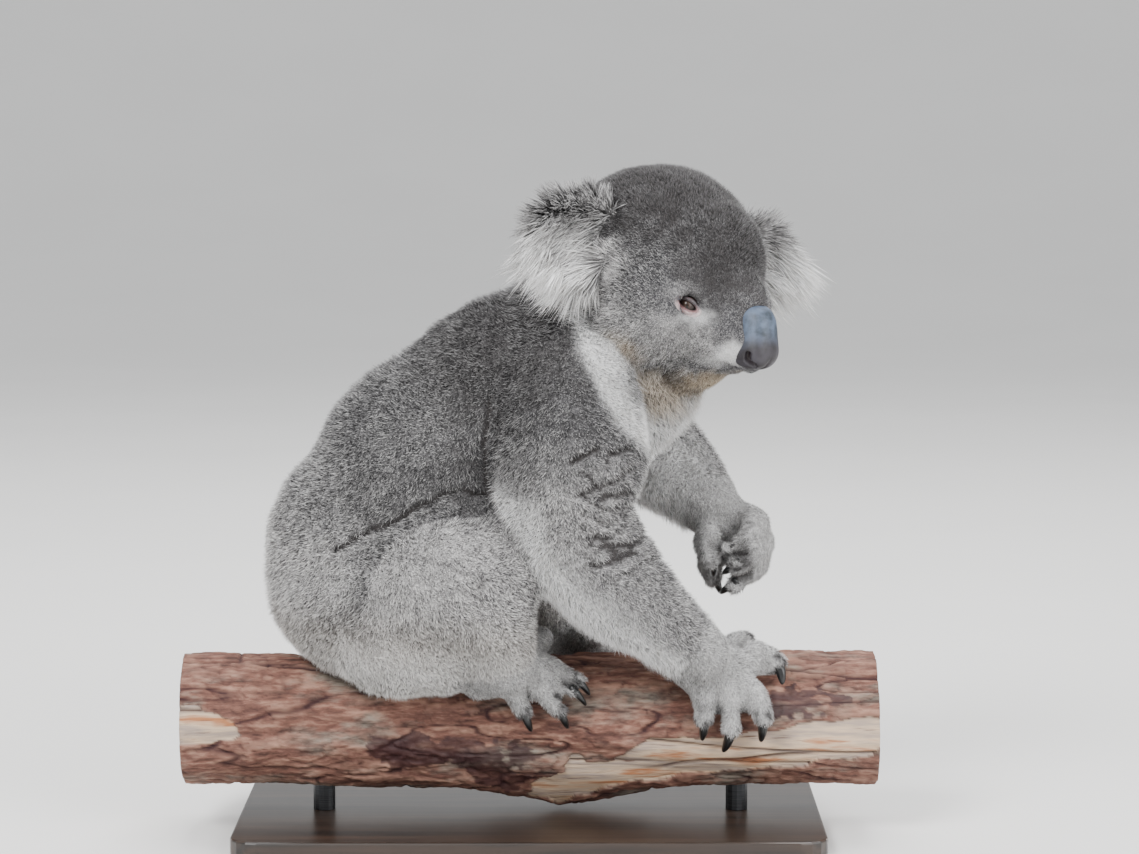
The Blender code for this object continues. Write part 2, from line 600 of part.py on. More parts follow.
def main():
    """Builds every solid in order, each cut back by those that it meets."""
    for old in list(bpy.data.objects):
        bpy.data.objects.remove(old)
    grey = finish("grey fur", FUR_GREY, 0.95)
    pale = finish("pale fur", FUR_PALE, 0.95)
    leather = finish("nose leather", LEATHER, 0.45)
    horn = finish("claw horn", HORN, 0.30)
    glass = finish("eye", EYE_BROWN, 0.08)
    bark = finish("bark", BARK, 0.85)
    steel = finish("stand steel", STEEL, 0.40, 1.0)
    board = finish("stand board", BOARD, 0.55)

    log = make_log(bark, make_stand(board, steel))
    claws = make_claws(horn)
    for holder in ("hand_right", "foot_right", "foot_left"):
        claws[holder] = [cut(claw, log) for claw in claws[holder]]

    nose = make_nose(leather)
    eyes = [make_eye("eye_right", -1, glass), make_eye("eye_left", 1, glass)]
    head = cut(make_head(grey), nose, *eyes)
    jaw = cut(make_jaw(pale), head, nose)
    body = make_torso(grey)
    neck = cut(body["neck"], head, jaw)
    trunk = cut(body["trunk"], log, head)
    right_ear = cut(make_ear("ear_right", -1, 0.018, 28, 0.078, 0.039, grey), head, neck, trunk)
    left_ear = cut(make_ear("ear_left", 1, 0.014, -10, 0.070, 0.029, grey), head, neck, trunk)

    core = [log, trunk, neck, head, jaw, right_ear, left_ear]
    arms = {**make_right_arm(grey), **make_left_arm(grey)}
    for name, arm in arms.items():
        arms[name] = cut(arm, *core, *claws.get(name, []))
    legs = {**make_leg("leg_right", 1, 0.0, grey), **make_leg("leg_left", -1, LEFT_FOOT_SHIFT, grey)}
    for name, leg in legs.items():
        legs[name] = cut(leg, *core, *arms.values(), *claws.get(name, []))
    cut(legs["foot_right"], legs["foot_left"])

    for made in bpy.data.objects:
        made.data.shade_smooth()
        made.data.set_sharp_from_angle(angle=math.radians(SHARP_FROM))


main()
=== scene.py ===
"""The looks of a still, life-size koala on its cut length of branch and its display stand.

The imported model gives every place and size. One skin is fused from its flesh solids and drawn in by
the coat's depth, and tufts rooted in that skin reach back out to the solids' surface. Skin and coat
read the same markings, which are functions of where a hair grows.
"""

import logging
import math
from dataclasses import dataclass, field
from enum import Enum
from functools import cached_property

import bmesh
import bpy
import numpy as np
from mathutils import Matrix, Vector
from mathutils.bvhtree import BVHTree


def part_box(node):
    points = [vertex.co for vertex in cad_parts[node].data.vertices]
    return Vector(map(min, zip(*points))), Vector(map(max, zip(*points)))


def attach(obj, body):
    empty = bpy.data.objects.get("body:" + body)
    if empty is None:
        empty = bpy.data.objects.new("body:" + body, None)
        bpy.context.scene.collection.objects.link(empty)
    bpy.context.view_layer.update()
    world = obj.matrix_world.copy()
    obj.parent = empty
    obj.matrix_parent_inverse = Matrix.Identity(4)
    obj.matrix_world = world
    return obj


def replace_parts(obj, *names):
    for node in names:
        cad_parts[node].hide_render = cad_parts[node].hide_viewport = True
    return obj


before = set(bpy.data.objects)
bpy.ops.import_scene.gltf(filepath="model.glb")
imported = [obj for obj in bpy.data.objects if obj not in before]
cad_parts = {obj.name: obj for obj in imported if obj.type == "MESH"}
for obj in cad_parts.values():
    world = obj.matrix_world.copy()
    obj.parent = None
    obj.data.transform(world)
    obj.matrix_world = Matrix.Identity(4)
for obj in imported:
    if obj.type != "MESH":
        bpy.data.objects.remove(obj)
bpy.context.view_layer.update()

log = logging.getLogger("koala")
Array = np.ndarray
Material = bpy.types.Material
Mesh = bpy.types.Mesh
NodeTree = bpy.types.NodeTree
Socket = bpy.types.NodeSocket
SIDES = {"right": -1.0, "left": 1.0}
SQUARE_MM = 1e6  # in a square metre


# ---------------------------------------------------------------- arithmetic on whole arrays
def unit(vectors: Array) -> Array:
    """Vectors at length one."""
    return vectors / np.maximum(np.linalg.norm(vectors, axis=-1, keepdims=True), 1e-12)


def dot(a: Array, b: Array) -> Array:
    """The scalar product of each pair of vectors."""
    return (a * b).sum(axis=-1)


def flat(vectors: Array, normals: Array) -> Array:
    """Vectors laid into the plane across each normal, at length one."""
    return unit(vectors - normals * dot(vectors, normals)[..., None])


def ramp(x: Array, low: float, high: float) -> Array:
    """A smooth rise from 0 at low to 1 at high, 3t^2 - 2t^3."""
    t = np.clip((x - low) / (high - low), 0.0, 1.0)
    return t * t * (3.0 - 2.0 * t)


def fall(x: Array, low: float, high: float) -> Array:
    """A smooth fall from 1 at low to 0 at high."""
    return 1.0 - ramp(x, low, high)


def blend(a: Array, b: Array, share: Array) -> Array:
    """a where share is 0 and b where it is 1, in a straight line between them."""
    return a + (b - a) * share


def bell(x: Array, width: float) -> Array:
    """1 at 0, falling off as e to the minus square of x over the width."""
    return np.exp(-((x / width) ** 2))


def folded(points: Array) -> Array:
    """Points with y made positive, which lays the right side onto the left."""
    return points * [1, 0, 1] + np.abs(points) * [0, 1, 0]


def turns(count: int) -> Array:
    """Angles evenly spaced round one turn, from 0."""
    return np.linspace(0.0, 2.0 * math.pi, count, endpoint=False)


def ball(down: Array, turn: Array) -> Array:
    """Unit vectors by their angle from the third axis and their turn about it."""
    return np.stack(np.broadcast_arrays(
        np.sin(down) * np.cos(turn), np.sin(down) * np.sin(turn), np.cos(down)), axis=-1)


def bowed(start: Array, bend: Array, end: Array, t: Array) -> Array:
    """A quadratic Bezier curve: (1 - t)^2 start + 2 t (1 - t) bend + t^2 end."""
    return (1 - t) ** 2 * start + 2 * t * (1 - t) * bend + t**2 * end


def tube(spine: Array, ahead: Array, side: Array, size: Array, turn: Array, flatness: float) -> Array:
    """Ovals carried along a spine.

    Args:
        spine: the middle of each oval.
        ahead: the spine's direction at each.
        side: one direction that every oval's width lies near.
        size: half of each oval's height.
        turn: angles round each oval.
        flatness: an oval's width as a share of its height.

    Returns:
        One ring of points for each place on the spine.
    """
    side = flat(np.broadcast_to(side, ahead.shape), ahead)
    up = np.cross(side, ahead)
    wave = side[:, None] * np.cos(turn)[None, :, None] * flatness
    wave = wave + up[:, None] * np.sin(turn)[None, :, None]
    return spine[:, None] + wave * size[..., None]


def principal(points: Array) -> tuple[Array, Array]:
    """The middle of a cloud of points, and the directions of its spread as columns, least first."""
    centre = points.mean(axis=0)
    return centre, np.linalg.eigh(np.cov((points - centre).T))[1]


HASH_PRIMES = (73856093, 19349663, 83492791, 2654435761)
HASH_STIR = 1274126177
HASH_KEPT = 0xFFFFFF


def scatter(cells: Array, seed: int) -> Array:
    """A fixed number from 0 to 1 for each whole-number cell, by mixing the bits of its coordinates.

    Args:
        cells: whole numbers, three to a row.
        seed: picks one pattern out of many.

    Returns:
        One number a row.
    """
    x, y, z = (cells[..., k].astype(np.int64) for k in range(3))
    a, b, c, d = HASH_PRIMES
    bits = (x * a) ^ (y * b) ^ (z * c) ^ (seed * d)
    bits = (bits ^ (bits >> 13)) * HASH_STIR
    return ((bits ^ (bits >> 16)) & HASH_KEPT) / float(HASH_KEPT)


def cloud(points: Array, size: float, seed: int) -> Array:
    """Smooth noise from -1 to 1: a random number at each corner of a lattice, blended in between.

    Args:
        points: places in metres.
        size: the lattice's step in metres.
        seed: picks one pattern out of many.

    Returns:
        One number a point.
    """
    place = points / size
    corner = np.floor(place)
    share = place - corner
    share = share * share * (3.0 - 2.0 * share)
    total = np.zeros(points.shape[:-1])
    for step in np.ndindex(2, 2, 2):
        weight = np.prod(np.where(np.array(step) == 1, share, 1.0 - share), axis=-1)
        total += weight * scatter(corner + step, seed)
    return 2.0 * total - 1.0


def clumps(points: Array, size: float, seed: int) -> tuple[Array, Array, Array]:
    """The nearest of one random seed point per lattice cell, which parts space into clumps.

    Args:
        points: places in metres.
        size: the lattice's step in metres.
        seed: picks one pattern out of many.

    Returns:
        The way from each point to its seed point, a number from 0 to 1 for its clump, and how much
        farther the next seed point is, which is 0 on the parting between two clumps.
    """
    base = np.floor(points / size)
    best = np.full(points.shape[:-1], np.inf)
    second = best.copy()
    way = np.zeros_like(points)
    tone = np.zeros(points.shape[:-1])
    for step in np.ndindex(3, 3, 3):
        cell = base + np.array(step) - 1.0
        spot = np.stack([scatter(cell, seed + k) for k in range(3)], axis=-1)
        gap = (cell + spot) * size - points
        reach = np.sqrt(dot(gap, gap))
        nearer = reach < best
        second = np.where(nearer, best, np.minimum(second, reach))
        best = np.where(nearer, reach, best)
        way = np.where(nearer[..., None], gap, way)
        tone = np.where(nearer, scatter(cell, seed + 3), tone)
    return way, tone, second - best


# ---------------------------------------------------------------- meshes
@dataclass
class Sheet:
    """A mesh as arrays: points, and faces that all have the same number of corners."""

    points: Array
    faces: Array

    @staticmethod
    def joined(sheets: list["Sheet"]) -> "Sheet":
        """Several sheets as one, with the later ones' faces counted on from the earlier ones' points.

        Args:
            sheets: at least one, all with the same number of corners to a face.

        Returns:
            One sheet.
        """
        starts = np.cumsum([0] + [len(sheet.points) for sheet in sheets[:-1]])
        faces = np.concatenate([sheet.faces + start for sheet, start in zip(sheets, starts)])
        return Sheet(np.concatenate([sheet.points for sheet in sheets]), faces)


def mesh_from(name: str, sheet: Sheet) -> Mesh:
    """A smooth-shaded Blender mesh from a sheet's arrays.

    Args:
        name: the mesh's name.
        sheet: points and faces.

    Returns:
        The mesh, not yet in any object.
    """
    count, corners = sheet.faces.shape
    mesh = bpy.data.meshes.new(name)
    mesh.vertices.add(len(sheet.points))
    mesh.vertices.foreach_set("co", sheet.points.astype(np.float32).ravel())
    mesh.loops.add(count * corners)
    mesh.loops.foreach_set("vertex_index", sheet.faces.astype(np.int32).ravel())
    mesh.polygons.add(count)
    mesh.polygons.foreach_set("loop_start", np.arange(0, count * corners, corners, dtype=np.int32))
    mesh.update(calc_edges=True)
    mesh.polygons.foreach_set("use_smooth", np.full(count, True))
    return mesh


def set_points(mesh: Mesh, points: Array) -> None:
    """Moves a mesh's points."""
    mesh.vertices.foreach_set("co", points.astype(np.float32).ravel())
    mesh.update()


def seal(mesh: Mesh, reach: float = 1e-6) -> None:
    """Merges a mesh's doubled points and turns its faces outwards.

    Args:
        mesh: the mesh, changed in place.
        reach: how near doubled points lie, in metres.
    """
    shape = bmesh.new()
    shape.from_mesh(mesh)
    bmesh.ops.remove_doubles(shape, verts=shape.verts, dist=reach)
    bmesh.ops.recalc_face_normals(shape, faces=shape.faces)
    shape.to_mesh(mesh)
    shape.free()


def put_numbers(mesh: Mesh, name: str, values: Array) -> None:
    """Stores one number for each of a mesh's points, for its material to read."""
    store = mesh.attributes.new(name, "FLOAT", "POINT")
    store.data.foreach_set("value", values.astype(np.float32).ravel())


def put_uv(mesh: Mesh, name: str, corners: Array) -> None:
    """Stores a UV map, with one pair for each corner of each face in turn."""
    layer = mesh.uv_layers.new(name=name)
    layer.uv.foreach_set("vector", corners.astype(np.float32).ravel())


def placed(name: str, data: bpy.types.ID) -> bpy.types.Object:
    """Puts a new object into the scene.

    Args:
        name: its name.
        data: its mesh, lamp or camera.

    Returns:
        The object.
    """
    made = bpy.data.objects.new(name, data)
    bpy.context.scene.collection.objects.link(made)
    return made


def piece(name: str, mesh: Mesh, finish: Material) -> bpy.types.Object:
    """Puts a finished mesh into the scene, riding on the still model's one body.

    Args:
        name: the piece's name.
        mesh: its mesh, in the model's own frame.
        finish: its material.

    Returns:
        The piece.
    """
    made = placed(name, mesh)
    mesh.materials.append(finish)
    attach(made, "root")
    log.info("%s: %d faces", name, len(mesh.polygons))
    return made


def grid_faces(rows: int, columns: int) -> Array:
    """The four-cornered faces between rings of points, in row order.

    Args:
        rows: how many rings there are.
        columns: how many points are in a ring.

    Returns:
        Four indices a face.
    """
    row, column = np.mgrid[0 : rows - 1, 0:columns]
    after = (column + 1) % columns
    corners = [row * columns + column, row * columns + after]
    corners += [(row + 1) * columns + after, (row + 1) * columns + column]
    return np.stack(corners, axis=-1).reshape(-1, 4)


def lathe(name: str, points: Array) -> Mesh:
    """A mesh from rings of points, which is closed once seal has merged the rings that are poles.

    Args:
        name: the mesh's name.
        points: rows of rings, each turning the same way.

    Returns:
        The mesh, with its points still in the rings' order.
    """
    return mesh_from(name, Sheet(points.reshape(-1, 3), grid_faces(*points.shape[:2])))


def welded(name: str, points: Array, reach: float = 1e-6) -> Mesh:
    """A sealed mesh from rings of points.

    Args:
        name: the mesh's name.
        points: rows of rings, each turning the same way.
        reach: how near doubled points lie, in metres.

    Returns:
        The mesh.
    """
    made = lathe(name, points)
    seal(made, reach)
    return made


def arrays_of(mesh: Mesh) -> tuple[Array, Array, Array, Array]:
    """Reads a mesh.

    Args:
        mesh: the mesh.

    Returns:
        Its points, normals, edges and triangles, the last two by their points.
    """
    count = len(mesh.vertices)
    points, normals = np.empty(count * 3, np.float32), np.empty(count * 3, np.float32)
    mesh.vertices.foreach_get("co", points)
    mesh.vertices.foreach_get("normal", normals)
    edges = np.empty(len(mesh.edges) * 2, np.int32)
    mesh.edges.foreach_get("vertices", edges)
    mesh.calc_loop_triangles()
    triangles = np.empty(len(mesh.loop_triangles) * 3, np.int32)
    mesh.loop_triangles.foreach_get("vertices", triangles)
    return (
        points.reshape(-1, 3).astype(float), normals.reshape(-1, 3).astype(float),
        edges.reshape(-1, 2), triangles.reshape(-1, 3),
    )


def fused(name: str, parts: list[Mesh], voxel: float) -> Mesh:
    """Closed meshes that overlap, fused into one closed mesh of even squares.

    Args:
        name: the new mesh's name.
        parts: the meshes, which are used up.
        voxel: the size of the squares.

    Returns:
        The fused mesh.
    """
    whole = bmesh.new()
    for part in parts:
        whole.from_mesh(part)
        bpy.data.meshes.remove(part)
    raw = bpy.data.meshes.new(name)
    whole.to_mesh(raw)
    whole.free()
    holder = placed(name, raw)
    remesh = holder.modifiers.new("fuse", "REMESH")
    remesh.mode = "VOXEL"
    remesh.voxel_size = voxel
    graph = bpy.context.evaluated_depsgraph_get()
    made = bpy.data.meshes.new_from_object(holder.evaluated_get(graph), depsgraph=graph)
    bpy.data.objects.remove(holder)
    bpy.data.meshes.remove(raw)
    return made


@dataclass
class Net:
    """A mesh's edges, along which values spread from point to point."""

    count: int
    edges: Array

    def spread(self, values: Array, rounds: int, share: Array | float = 0.5) -> Array:
        """Draws each point's values towards the mean of its neighbours'.

        Args:
            values: one row of numbers a point.
            rounds: how many times it is done.
            share: how far each goes towards that mean, for all points or for each.

        Returns:
            The smoothed values.
        """
        a, b = self.edges.T
        degree = np.bincount(a, minlength=self.count) + np.bincount(b, minlength=self.count)
        degree = np.maximum(degree, 1)[:, None]
        share = np.broadcast_to(np.asarray(share, float), (self.count,))[:, None]
        for _ in range(rounds):
            sums = [
                np.bincount(a, column[b], self.count) + np.bincount(b, column[a], self.count)
                for column in values.T
            ]
            values = values + share * (np.stack(sums, axis=1) / degree - values)
        return values


# ---------------------------------------------------------------- places taken from the frame
def middle(node: str) -> Array:
    """The centre of a node's box."""
    low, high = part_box(node)
    return np.array((low + high) / 2)


def solid(node: str, grow: float = 0.0) -> Mesh:
    """A merged copy of a node's mesh.

    Args:
        node: the node's name.
        grow: how far its surface is moved out, in metres.

    Returns:
        The copy.
    """
    shape = bmesh.new()
    shape.from_mesh(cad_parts[node].data)
    bmesh.ops.remove_doubles(shape, verts=shape.verts, dist=1e-5)
    shape.normal_update()
    moved = [v.co + v.normal * grow for v in shape.verts]
    for vertex, place in zip(shape.verts, moved):
        vertex.co = place
    made = bpy.data.meshes.new(node + "_copy")
    shape.to_mesh(made)
    shape.free()
    return made


def solid_points(node: str) -> Array:
    """The points of a node's mesh, with doubles merged."""
    mesh = solid(node)
    points = arrays_of(mesh)[0]
    bpy.data.meshes.remove(mesh)
    return points


@dataclass(frozen=True)
class Axes:
    """A frame of its own inside the model's: an origin, and three unit directions as rows."""

    origin: Array
    rows: Array

    def inside(self, points: Array) -> Array:
        """The model's points in this frame."""
        return (points - self.origin) @ self.rows.T

    def outside(self, points: Array) -> Array:
        """This frame's points in the model's."""
        return self.origin + points @ self.rows

    def turned(self, vectors: Array) -> Array:
        """This frame's directions in the model's."""
        return np.asarray(vectors, float) @ self.rows


def head_axes() -> Axes:
    """The head's frame as (forward, left, up), whose origin is EYES_AT back from between the eyes."""
    eyes_at = np.array([0.056, 0.0, -0.0245])
    right, left = middle("eye_right"), middle("eye_left")
    across = unit(left - right)
    forward = unit(np.cross(across, [0.0, 0.0, 1.0]))
    rows = np.stack([forward, across, np.cross(forward, across)])
    return Axes((left + right) / 2 - eyes_at @ rows, rows)


def ear_axes(node: str, nose: Array) -> Axes:
    """An ear's frame, from how its solid spreads.

    The solid is thinnest through its face, and the face is the side towards the nose.

    Args:
        node: the ear's node.
        nose: where the nose is.

    Returns:
        The frame (out from the head, up, through its face).
    """
    centre, ways = principal(solid_points(node))
    face = ways[:, 0] * np.sign(ways[:, 0] @ (nose - centre))
    face = unit(face * [1.0, 1.0, 0.0])
    up = np.array([0.0, 0.0, 1.0])
    out = np.cross(up, face)
    out = out * np.sign(out @ (centre - middle("head")))
    return Axes(centre, np.stack([out, up, face]))


# ---------------------------------------------------------------- materials
def linear(code: str) -> tuple[float, float, float, float]:
    """An sRGB hex colour as linear red, green, blue and alpha.

    Args:
        code: a hash sign and six digits.

    Returns:
        Four numbers from 0 to 1.
    """
    parts = [int(code[i : i + 2], 16) / 255.0 for i in (1, 3, 5)]
    curve = [p / 12.92 if p <= 0.04045 else ((p + 0.055) / 1.055) ** 2.4 for p in parts]
    return (*curve, 1.0)


def feed(tree: NodeTree, node: bpy.types.Node, inputs: dict) -> None:
    """Fills a node's inputs.

    Args:
        tree: the node's tree.
        node: the node.
        inputs: sockets by name with _ for a space, or by number as i0, i1 and so on. A socket given
            as the value is linked, and anything else is set.
    """
    for name, value in inputs.items():
        numbered = name[0] == "i" and name[1:].isdigit()
        socket = node.inputs[int(name[1:]) if numbered else name.replace("_", " ")]
        if isinstance(value, Socket):
            tree.links.new(value, socket)
        else:
            socket.default_value = value


def add(tree: NodeTree, kind: str, settings: dict | None = None, **inputs) -> bpy.types.Node:
    """Adds a node with its settings and inputs.

    Args:
        tree: the material's or the world's node tree.
        kind: the node's type, without the ShaderNode in front.
        settings: properties of the node itself.
        inputs: what feed puts into it.

    Returns:
        The node.
    """
    node = tree.nodes.new("ShaderNode" + kind)
    for name, value in (settings or {}).items():
        setattr(node, name, value)
    feed(tree, node, inputs)
    return node


class Paint:
    """A new material while it is put together, with its node tree and its shader."""

    def __init__(self, name: str) -> None:
        """Starts a material of that name, with no nodes but its shader and its output."""
        self.made = bpy.data.materials.new(name)
        self.made.use_nodes = True
        self.tree = self.made.node_tree

    @cached_property
    def place(self) -> Socket:
        """The place in the model, in metres."""
        return add(self.tree, "TexCoord").outputs["Object"]

    def mark(self, name: str) -> Socket:
        """A number stored with each of the mesh's points."""
        return add(self.tree, "Attribute", {"attribute_name": name}).outputs["Fac"]

    def marks(self, *names: str) -> dict[str, Socket]:
        """Several such numbers by their names."""
        return {name: self.mark(name) for name in names}

    def ramp(self, factor: Socket, *stops: tuple[float, str]) -> Socket:
        """Turns a number into a colour.

        Args:
            factor: the number.
            stops: each a place and an sRGB hex colour.

        Returns:
            The colour.
        """
        node = add(self.tree, "ValToRGB", None, Fac=factor)
        for _ in stops[2:]:
            node.color_ramp.elements.new(0.5)
        for element, (place, code) in zip(node.color_ramp.elements, stops):
            element.position = place
            element.color = linear(code)
        return node.outputs["Color"]

    def mix(self, a: Socket, b: Socket | str, share: Socket | float, how: str = "MIX") -> Socket:
        """Blends two colours.

        Args:
            a: the colour where the share is 0.
            b: the colour where it is 1, which may be an sRGB hex code.
            share: from 0 to 1.
            how: the node's blend type.

        Returns:
            The colour.
        """
        b = linear(b) if isinstance(b, str) else b
        settings = {"data_type": "RGBA", "blend_type": how}
        return add(self.tree, "Mix", settings, i0=share, i6=a, i7=b).outputs[2]

    def maths(self, operation: str, *values: Socket | float) -> Socket:
        """Arithmetic on numbers."""
        numbered = {f"i{place}": value for place, value in enumerate(values)}
        return add(self.tree, "Math", {"operation": operation}, **numbered).outputs[0]

    def fit(self, value: Socket, low: float, high: float, start: float = 0.0, end: float = 1.0) -> Socket:
        """Carries the range from low to high over to the one from start to end, and no farther."""
        node = add(self.tree, "MapRange", None, Value=value, From_Min=low, From_Max=high,
                   To_Min=start, To_Max=end)
        return node.outputs["Result"]

    def noise(self, scale: float | tuple, detail: float, place: Socket | None = None, **more) -> Socket:
        """Noise from 0 to 1.

        Args:
            scale: lumps to a metre, or three such numbers for noise that is drawn out.
            detail: how many finer layers are added.
            place: where it is read, in place of the place in the model.
            more: other inputs of the node.

        Returns:
            The number.
        """
        place = place or self.place
        if isinstance(scale, tuple):
            place = add(self.tree, "Mapping", None, Vector=place, Scale=scale).outputs["Vector"]
            scale = 1.0
        node = add(self.tree, "TexNoise", None, Vector=place, Scale=scale, Detail=detail, **more)
        return node.outputs["Fac"]

    def done(self, colour: Socket, bump: tuple | None = None, **values) -> Material:
        """Fills the shader.

        Args:
            colour: the base colour.
            bump: a height from 0 to 1, the bump's strength and its depth in metres.
            values: the shader's other inputs.

        Returns:
            The material.
        """
        shader = self.tree.nodes["Principled BSDF"]
        if bump:
            height, strength, depth = bump
            values["Normal"] = add(
                self.tree, "Bump", None, Strength=strength, Distance=depth, Height=height).outputs["Normal"]
        feed(self.tree, shader, {"Base_Color": colour, **values})
        return self.made


@dataclass(frozen=True)
class FurFinish:
    """Koala wool, matt: banded hairs with white and black tips mixed like salt and pepper, so that the eye
    sees a grey that sparkles.
    Each hair darkens towards its root, partly its own darker root and partly painted shade deep in the
    coat, and the bare skin under it gets that painted shade."""

    name: str = "koala wool"
    pepper: str = "#29282a"
    grey: str = "#4e4d50"
    salt: str = "#bebdbc"
    silver_low: str = "#565456"
    silver: str = "#b8b6b5"
    silver_high: str = "#fffdfb"
    white_low: str = "#dfdcd7"
    white_high: str = "#ffffff"
    tan: str = "#8d7962"
    tan_light: str = "#dccbb0"
    shade: str = "#1c1a1b"
    brown: str = "#484443"
    pink: str = "#c7a5a6"

    def build(self, skin: bool) -> Material:
        """The material, for the skin under the coat or for the coat itself.

        Args:
            skin: the skin has no hairs of its own, so noise 1 mm across stands for them.

        Returns:
            The material.
        """
        paint = Paint(self.name + (" skin" if skin else ""))
        marks = paint.marks(*MARKS, "along", "strand")
        if skin:
            tone = paint.noise(900.0, 2.0)
        else:
            phase = paint.maths("MULTIPLY", marks["strand"], 41.0)
            wave = paint.maths("SINE", paint.maths("MULTIPLY_ADD", marks["along"], 11.0, phase))
            tone = paint.maths("MULTIPLY_ADD", wave, 0.2, marks["strand"])
        light = paint.ramp(tone, (0.08, self.silver_low), (0.45, self.silver), (0.8, self.silver_high))
        colour = paint.ramp(tone, (0.2, self.pepper), (0.5, self.grey), (0.82, self.salt))
        colour = paint.mix(colour, light, marks["silver"])
        colour = paint.mix(colour, paint.ramp(tone, (0.1, self.tan), (0.9, self.tan_light)), marks["tan"])
        pale = paint.ramp(tone, (0.05, self.white_low), (0.5, self.white_high))
        colour = paint.mix(colour, pale, marks["white"])
        deep = paint.ramp(tone, (0.1, self.shade), (0.6, self.brown), (0.95, self.grey))
        colour = paint.mix(colour, deep, marks["dark"])
        if skin:
            colour = paint.mix(colour, self.pink, marks["bare"])
        # Painted shade: towards the root, along 0 to 0.65, the colour goes up to 70 % of the way to the
        # shade colour, for darker roots and the shade deep in the coat.
        colour = paint.mix(colour, self.shade, paint.fit(marks["along"], 0.0, 0.65, 0.7, 0.0))
        return paint.done(colour, None, Roughness=0.85, Specular_IOR_Level=0.2,
                          Sheen_Weight=0.1, Sheen_Roughness=0.5)


@dataclass(frozen=True)
class NoseFinish:
    """Bare nose leather, dry: slate blue above and darker, warmer grey below, which paints light from above
    and shade beneath, darkest in the nostrils and the cleft as painted shade, with fine pebbles 0.5 mm
    across under a soft waxy gloss."""

    name: str = "nose leather"
    low: str = "#2f3842"
    high: str = "#505d71"
    shaded_warm_low: str = "#1b181b"
    shaded_warm_high: str = "#312e34"
    hollow: str = "#1c1114"
    pebble: float = 1900.0

    def build(self) -> Material:
        """The material."""
        paint = Paint(self.name)
        patch = paint.noise(120.0, 5.0)
        # Painted light and shade: lighter slate blue on the top, darker warm grey lower down.
        above = paint.ramp(patch, (0.38, self.low), (0.6, self.high))
        below = paint.ramp(patch, (0.36, self.shaded_warm_low), (0.64, self.shaded_warm_high))
        # Painted shade in the nostrils and the cleft.
        colour = paint.mix(paint.mix(above, below, paint.mark("low")), self.hollow, paint.mark("hollow"))
        pebbles = add(paint.tree, "TexVoronoi", None, Vector=paint.place, Scale=self.pebble)
        return paint.done(colour, (pebbles.outputs["Distance"], 0.3, 0.0004),
                          Roughness=0.5, IOR=1.45, Coat_Weight=0.06, Coat_Roughness=0.4)


@dataclass(frozen=True)
class LidFinish:
    """Thin bare skin about the eye: a dark moist edge, mouse grey above, pink and creased below."""

    name: str = "eyelid skin"
    edge: str = "#251819"
    red: str = "#6d4b4c"
    pink: str = "#b39798"
    pale: str = "#b3a6a6"
    grey: str = "#4b4648"
    mottle: str = "#b08f90"

    def build(self) -> Material:
        """The material."""
        paint = Paint(self.name)
        out = paint.mark("outward")
        below = paint.ramp(out, (0.05, self.edge), (0.12, self.red), (0.26, self.pink), (0.7, self.pale))
        above = paint.ramp(out, (0.1, self.edge), (0.26, self.grey), (0.9, self.grey))
        colour = paint.mix(above, below, paint.mark("pink"))
        mottle = paint.ramp(paint.noise(700.0, 3.0), (0.35, self.mottle), (0.65, "#ffffff"))
        colour = paint.mix(colour, mottle, 0.5, "MULTIPLY")
        return paint.done(colour, (paint.noise(1400.0, 3.0), 0.4, 0.0003),
                          Roughness=0.5, Subsurface_Weight=0.08, Subsurface_Scale=0.002)


@dataclass(frozen=True)
class EyeFinish:
    """A wet eye: a dark warm brown iris with an upright slit pupil, under a clear glossy cornea."""

    name: str = "wet eye"
    rim: str = "#150d0c"
    iris: str = "#1f1511"
    glow: str = "#35251c"
    pupil: str = "#070504"

    def build(self) -> Material:
        """The material, which reads how far out from the pupil each point lies."""
        paint = Paint(self.name)
        stops = ((0.1, self.glow), (0.4, self.iris), (0.52, self.rim), (0.8, self.rim))
        colour = paint.mix(paint.ramp(paint.mark("outward"), *stops), self.pupil, paint.mark("slit"))
        return paint.done(colour, None, Roughness=0.3, IOR=1.38, Coat_Weight=0.18, Coat_Roughness=0.05)


@dataclass(frozen=True)
class HornFinish:
    """Claw horn, near black, worn grey along its ridges, with a dull polish."""

    name: str = "claw horn"
    dark: str = "#0b0b0c"
    worn: str = "#3b3c3c"

    def build(self) -> Material:
        """The material, which reads each claw's own UV map, U along it and V round it."""
        paint = Paint(self.name)
        place = add(paint.tree, "UVMap", {"uv_map": "claw"}).outputs["UV"]
        ridge = paint.noise((2.0, 26.0, 1.0), 4.0, place)
        colour = paint.ramp(ridge, (0.48, self.dark), (0.78, self.worn))
        return paint.done(colour, (ridge, 0.35, 0.0004), Roughness=0.3, IOR=1.54)


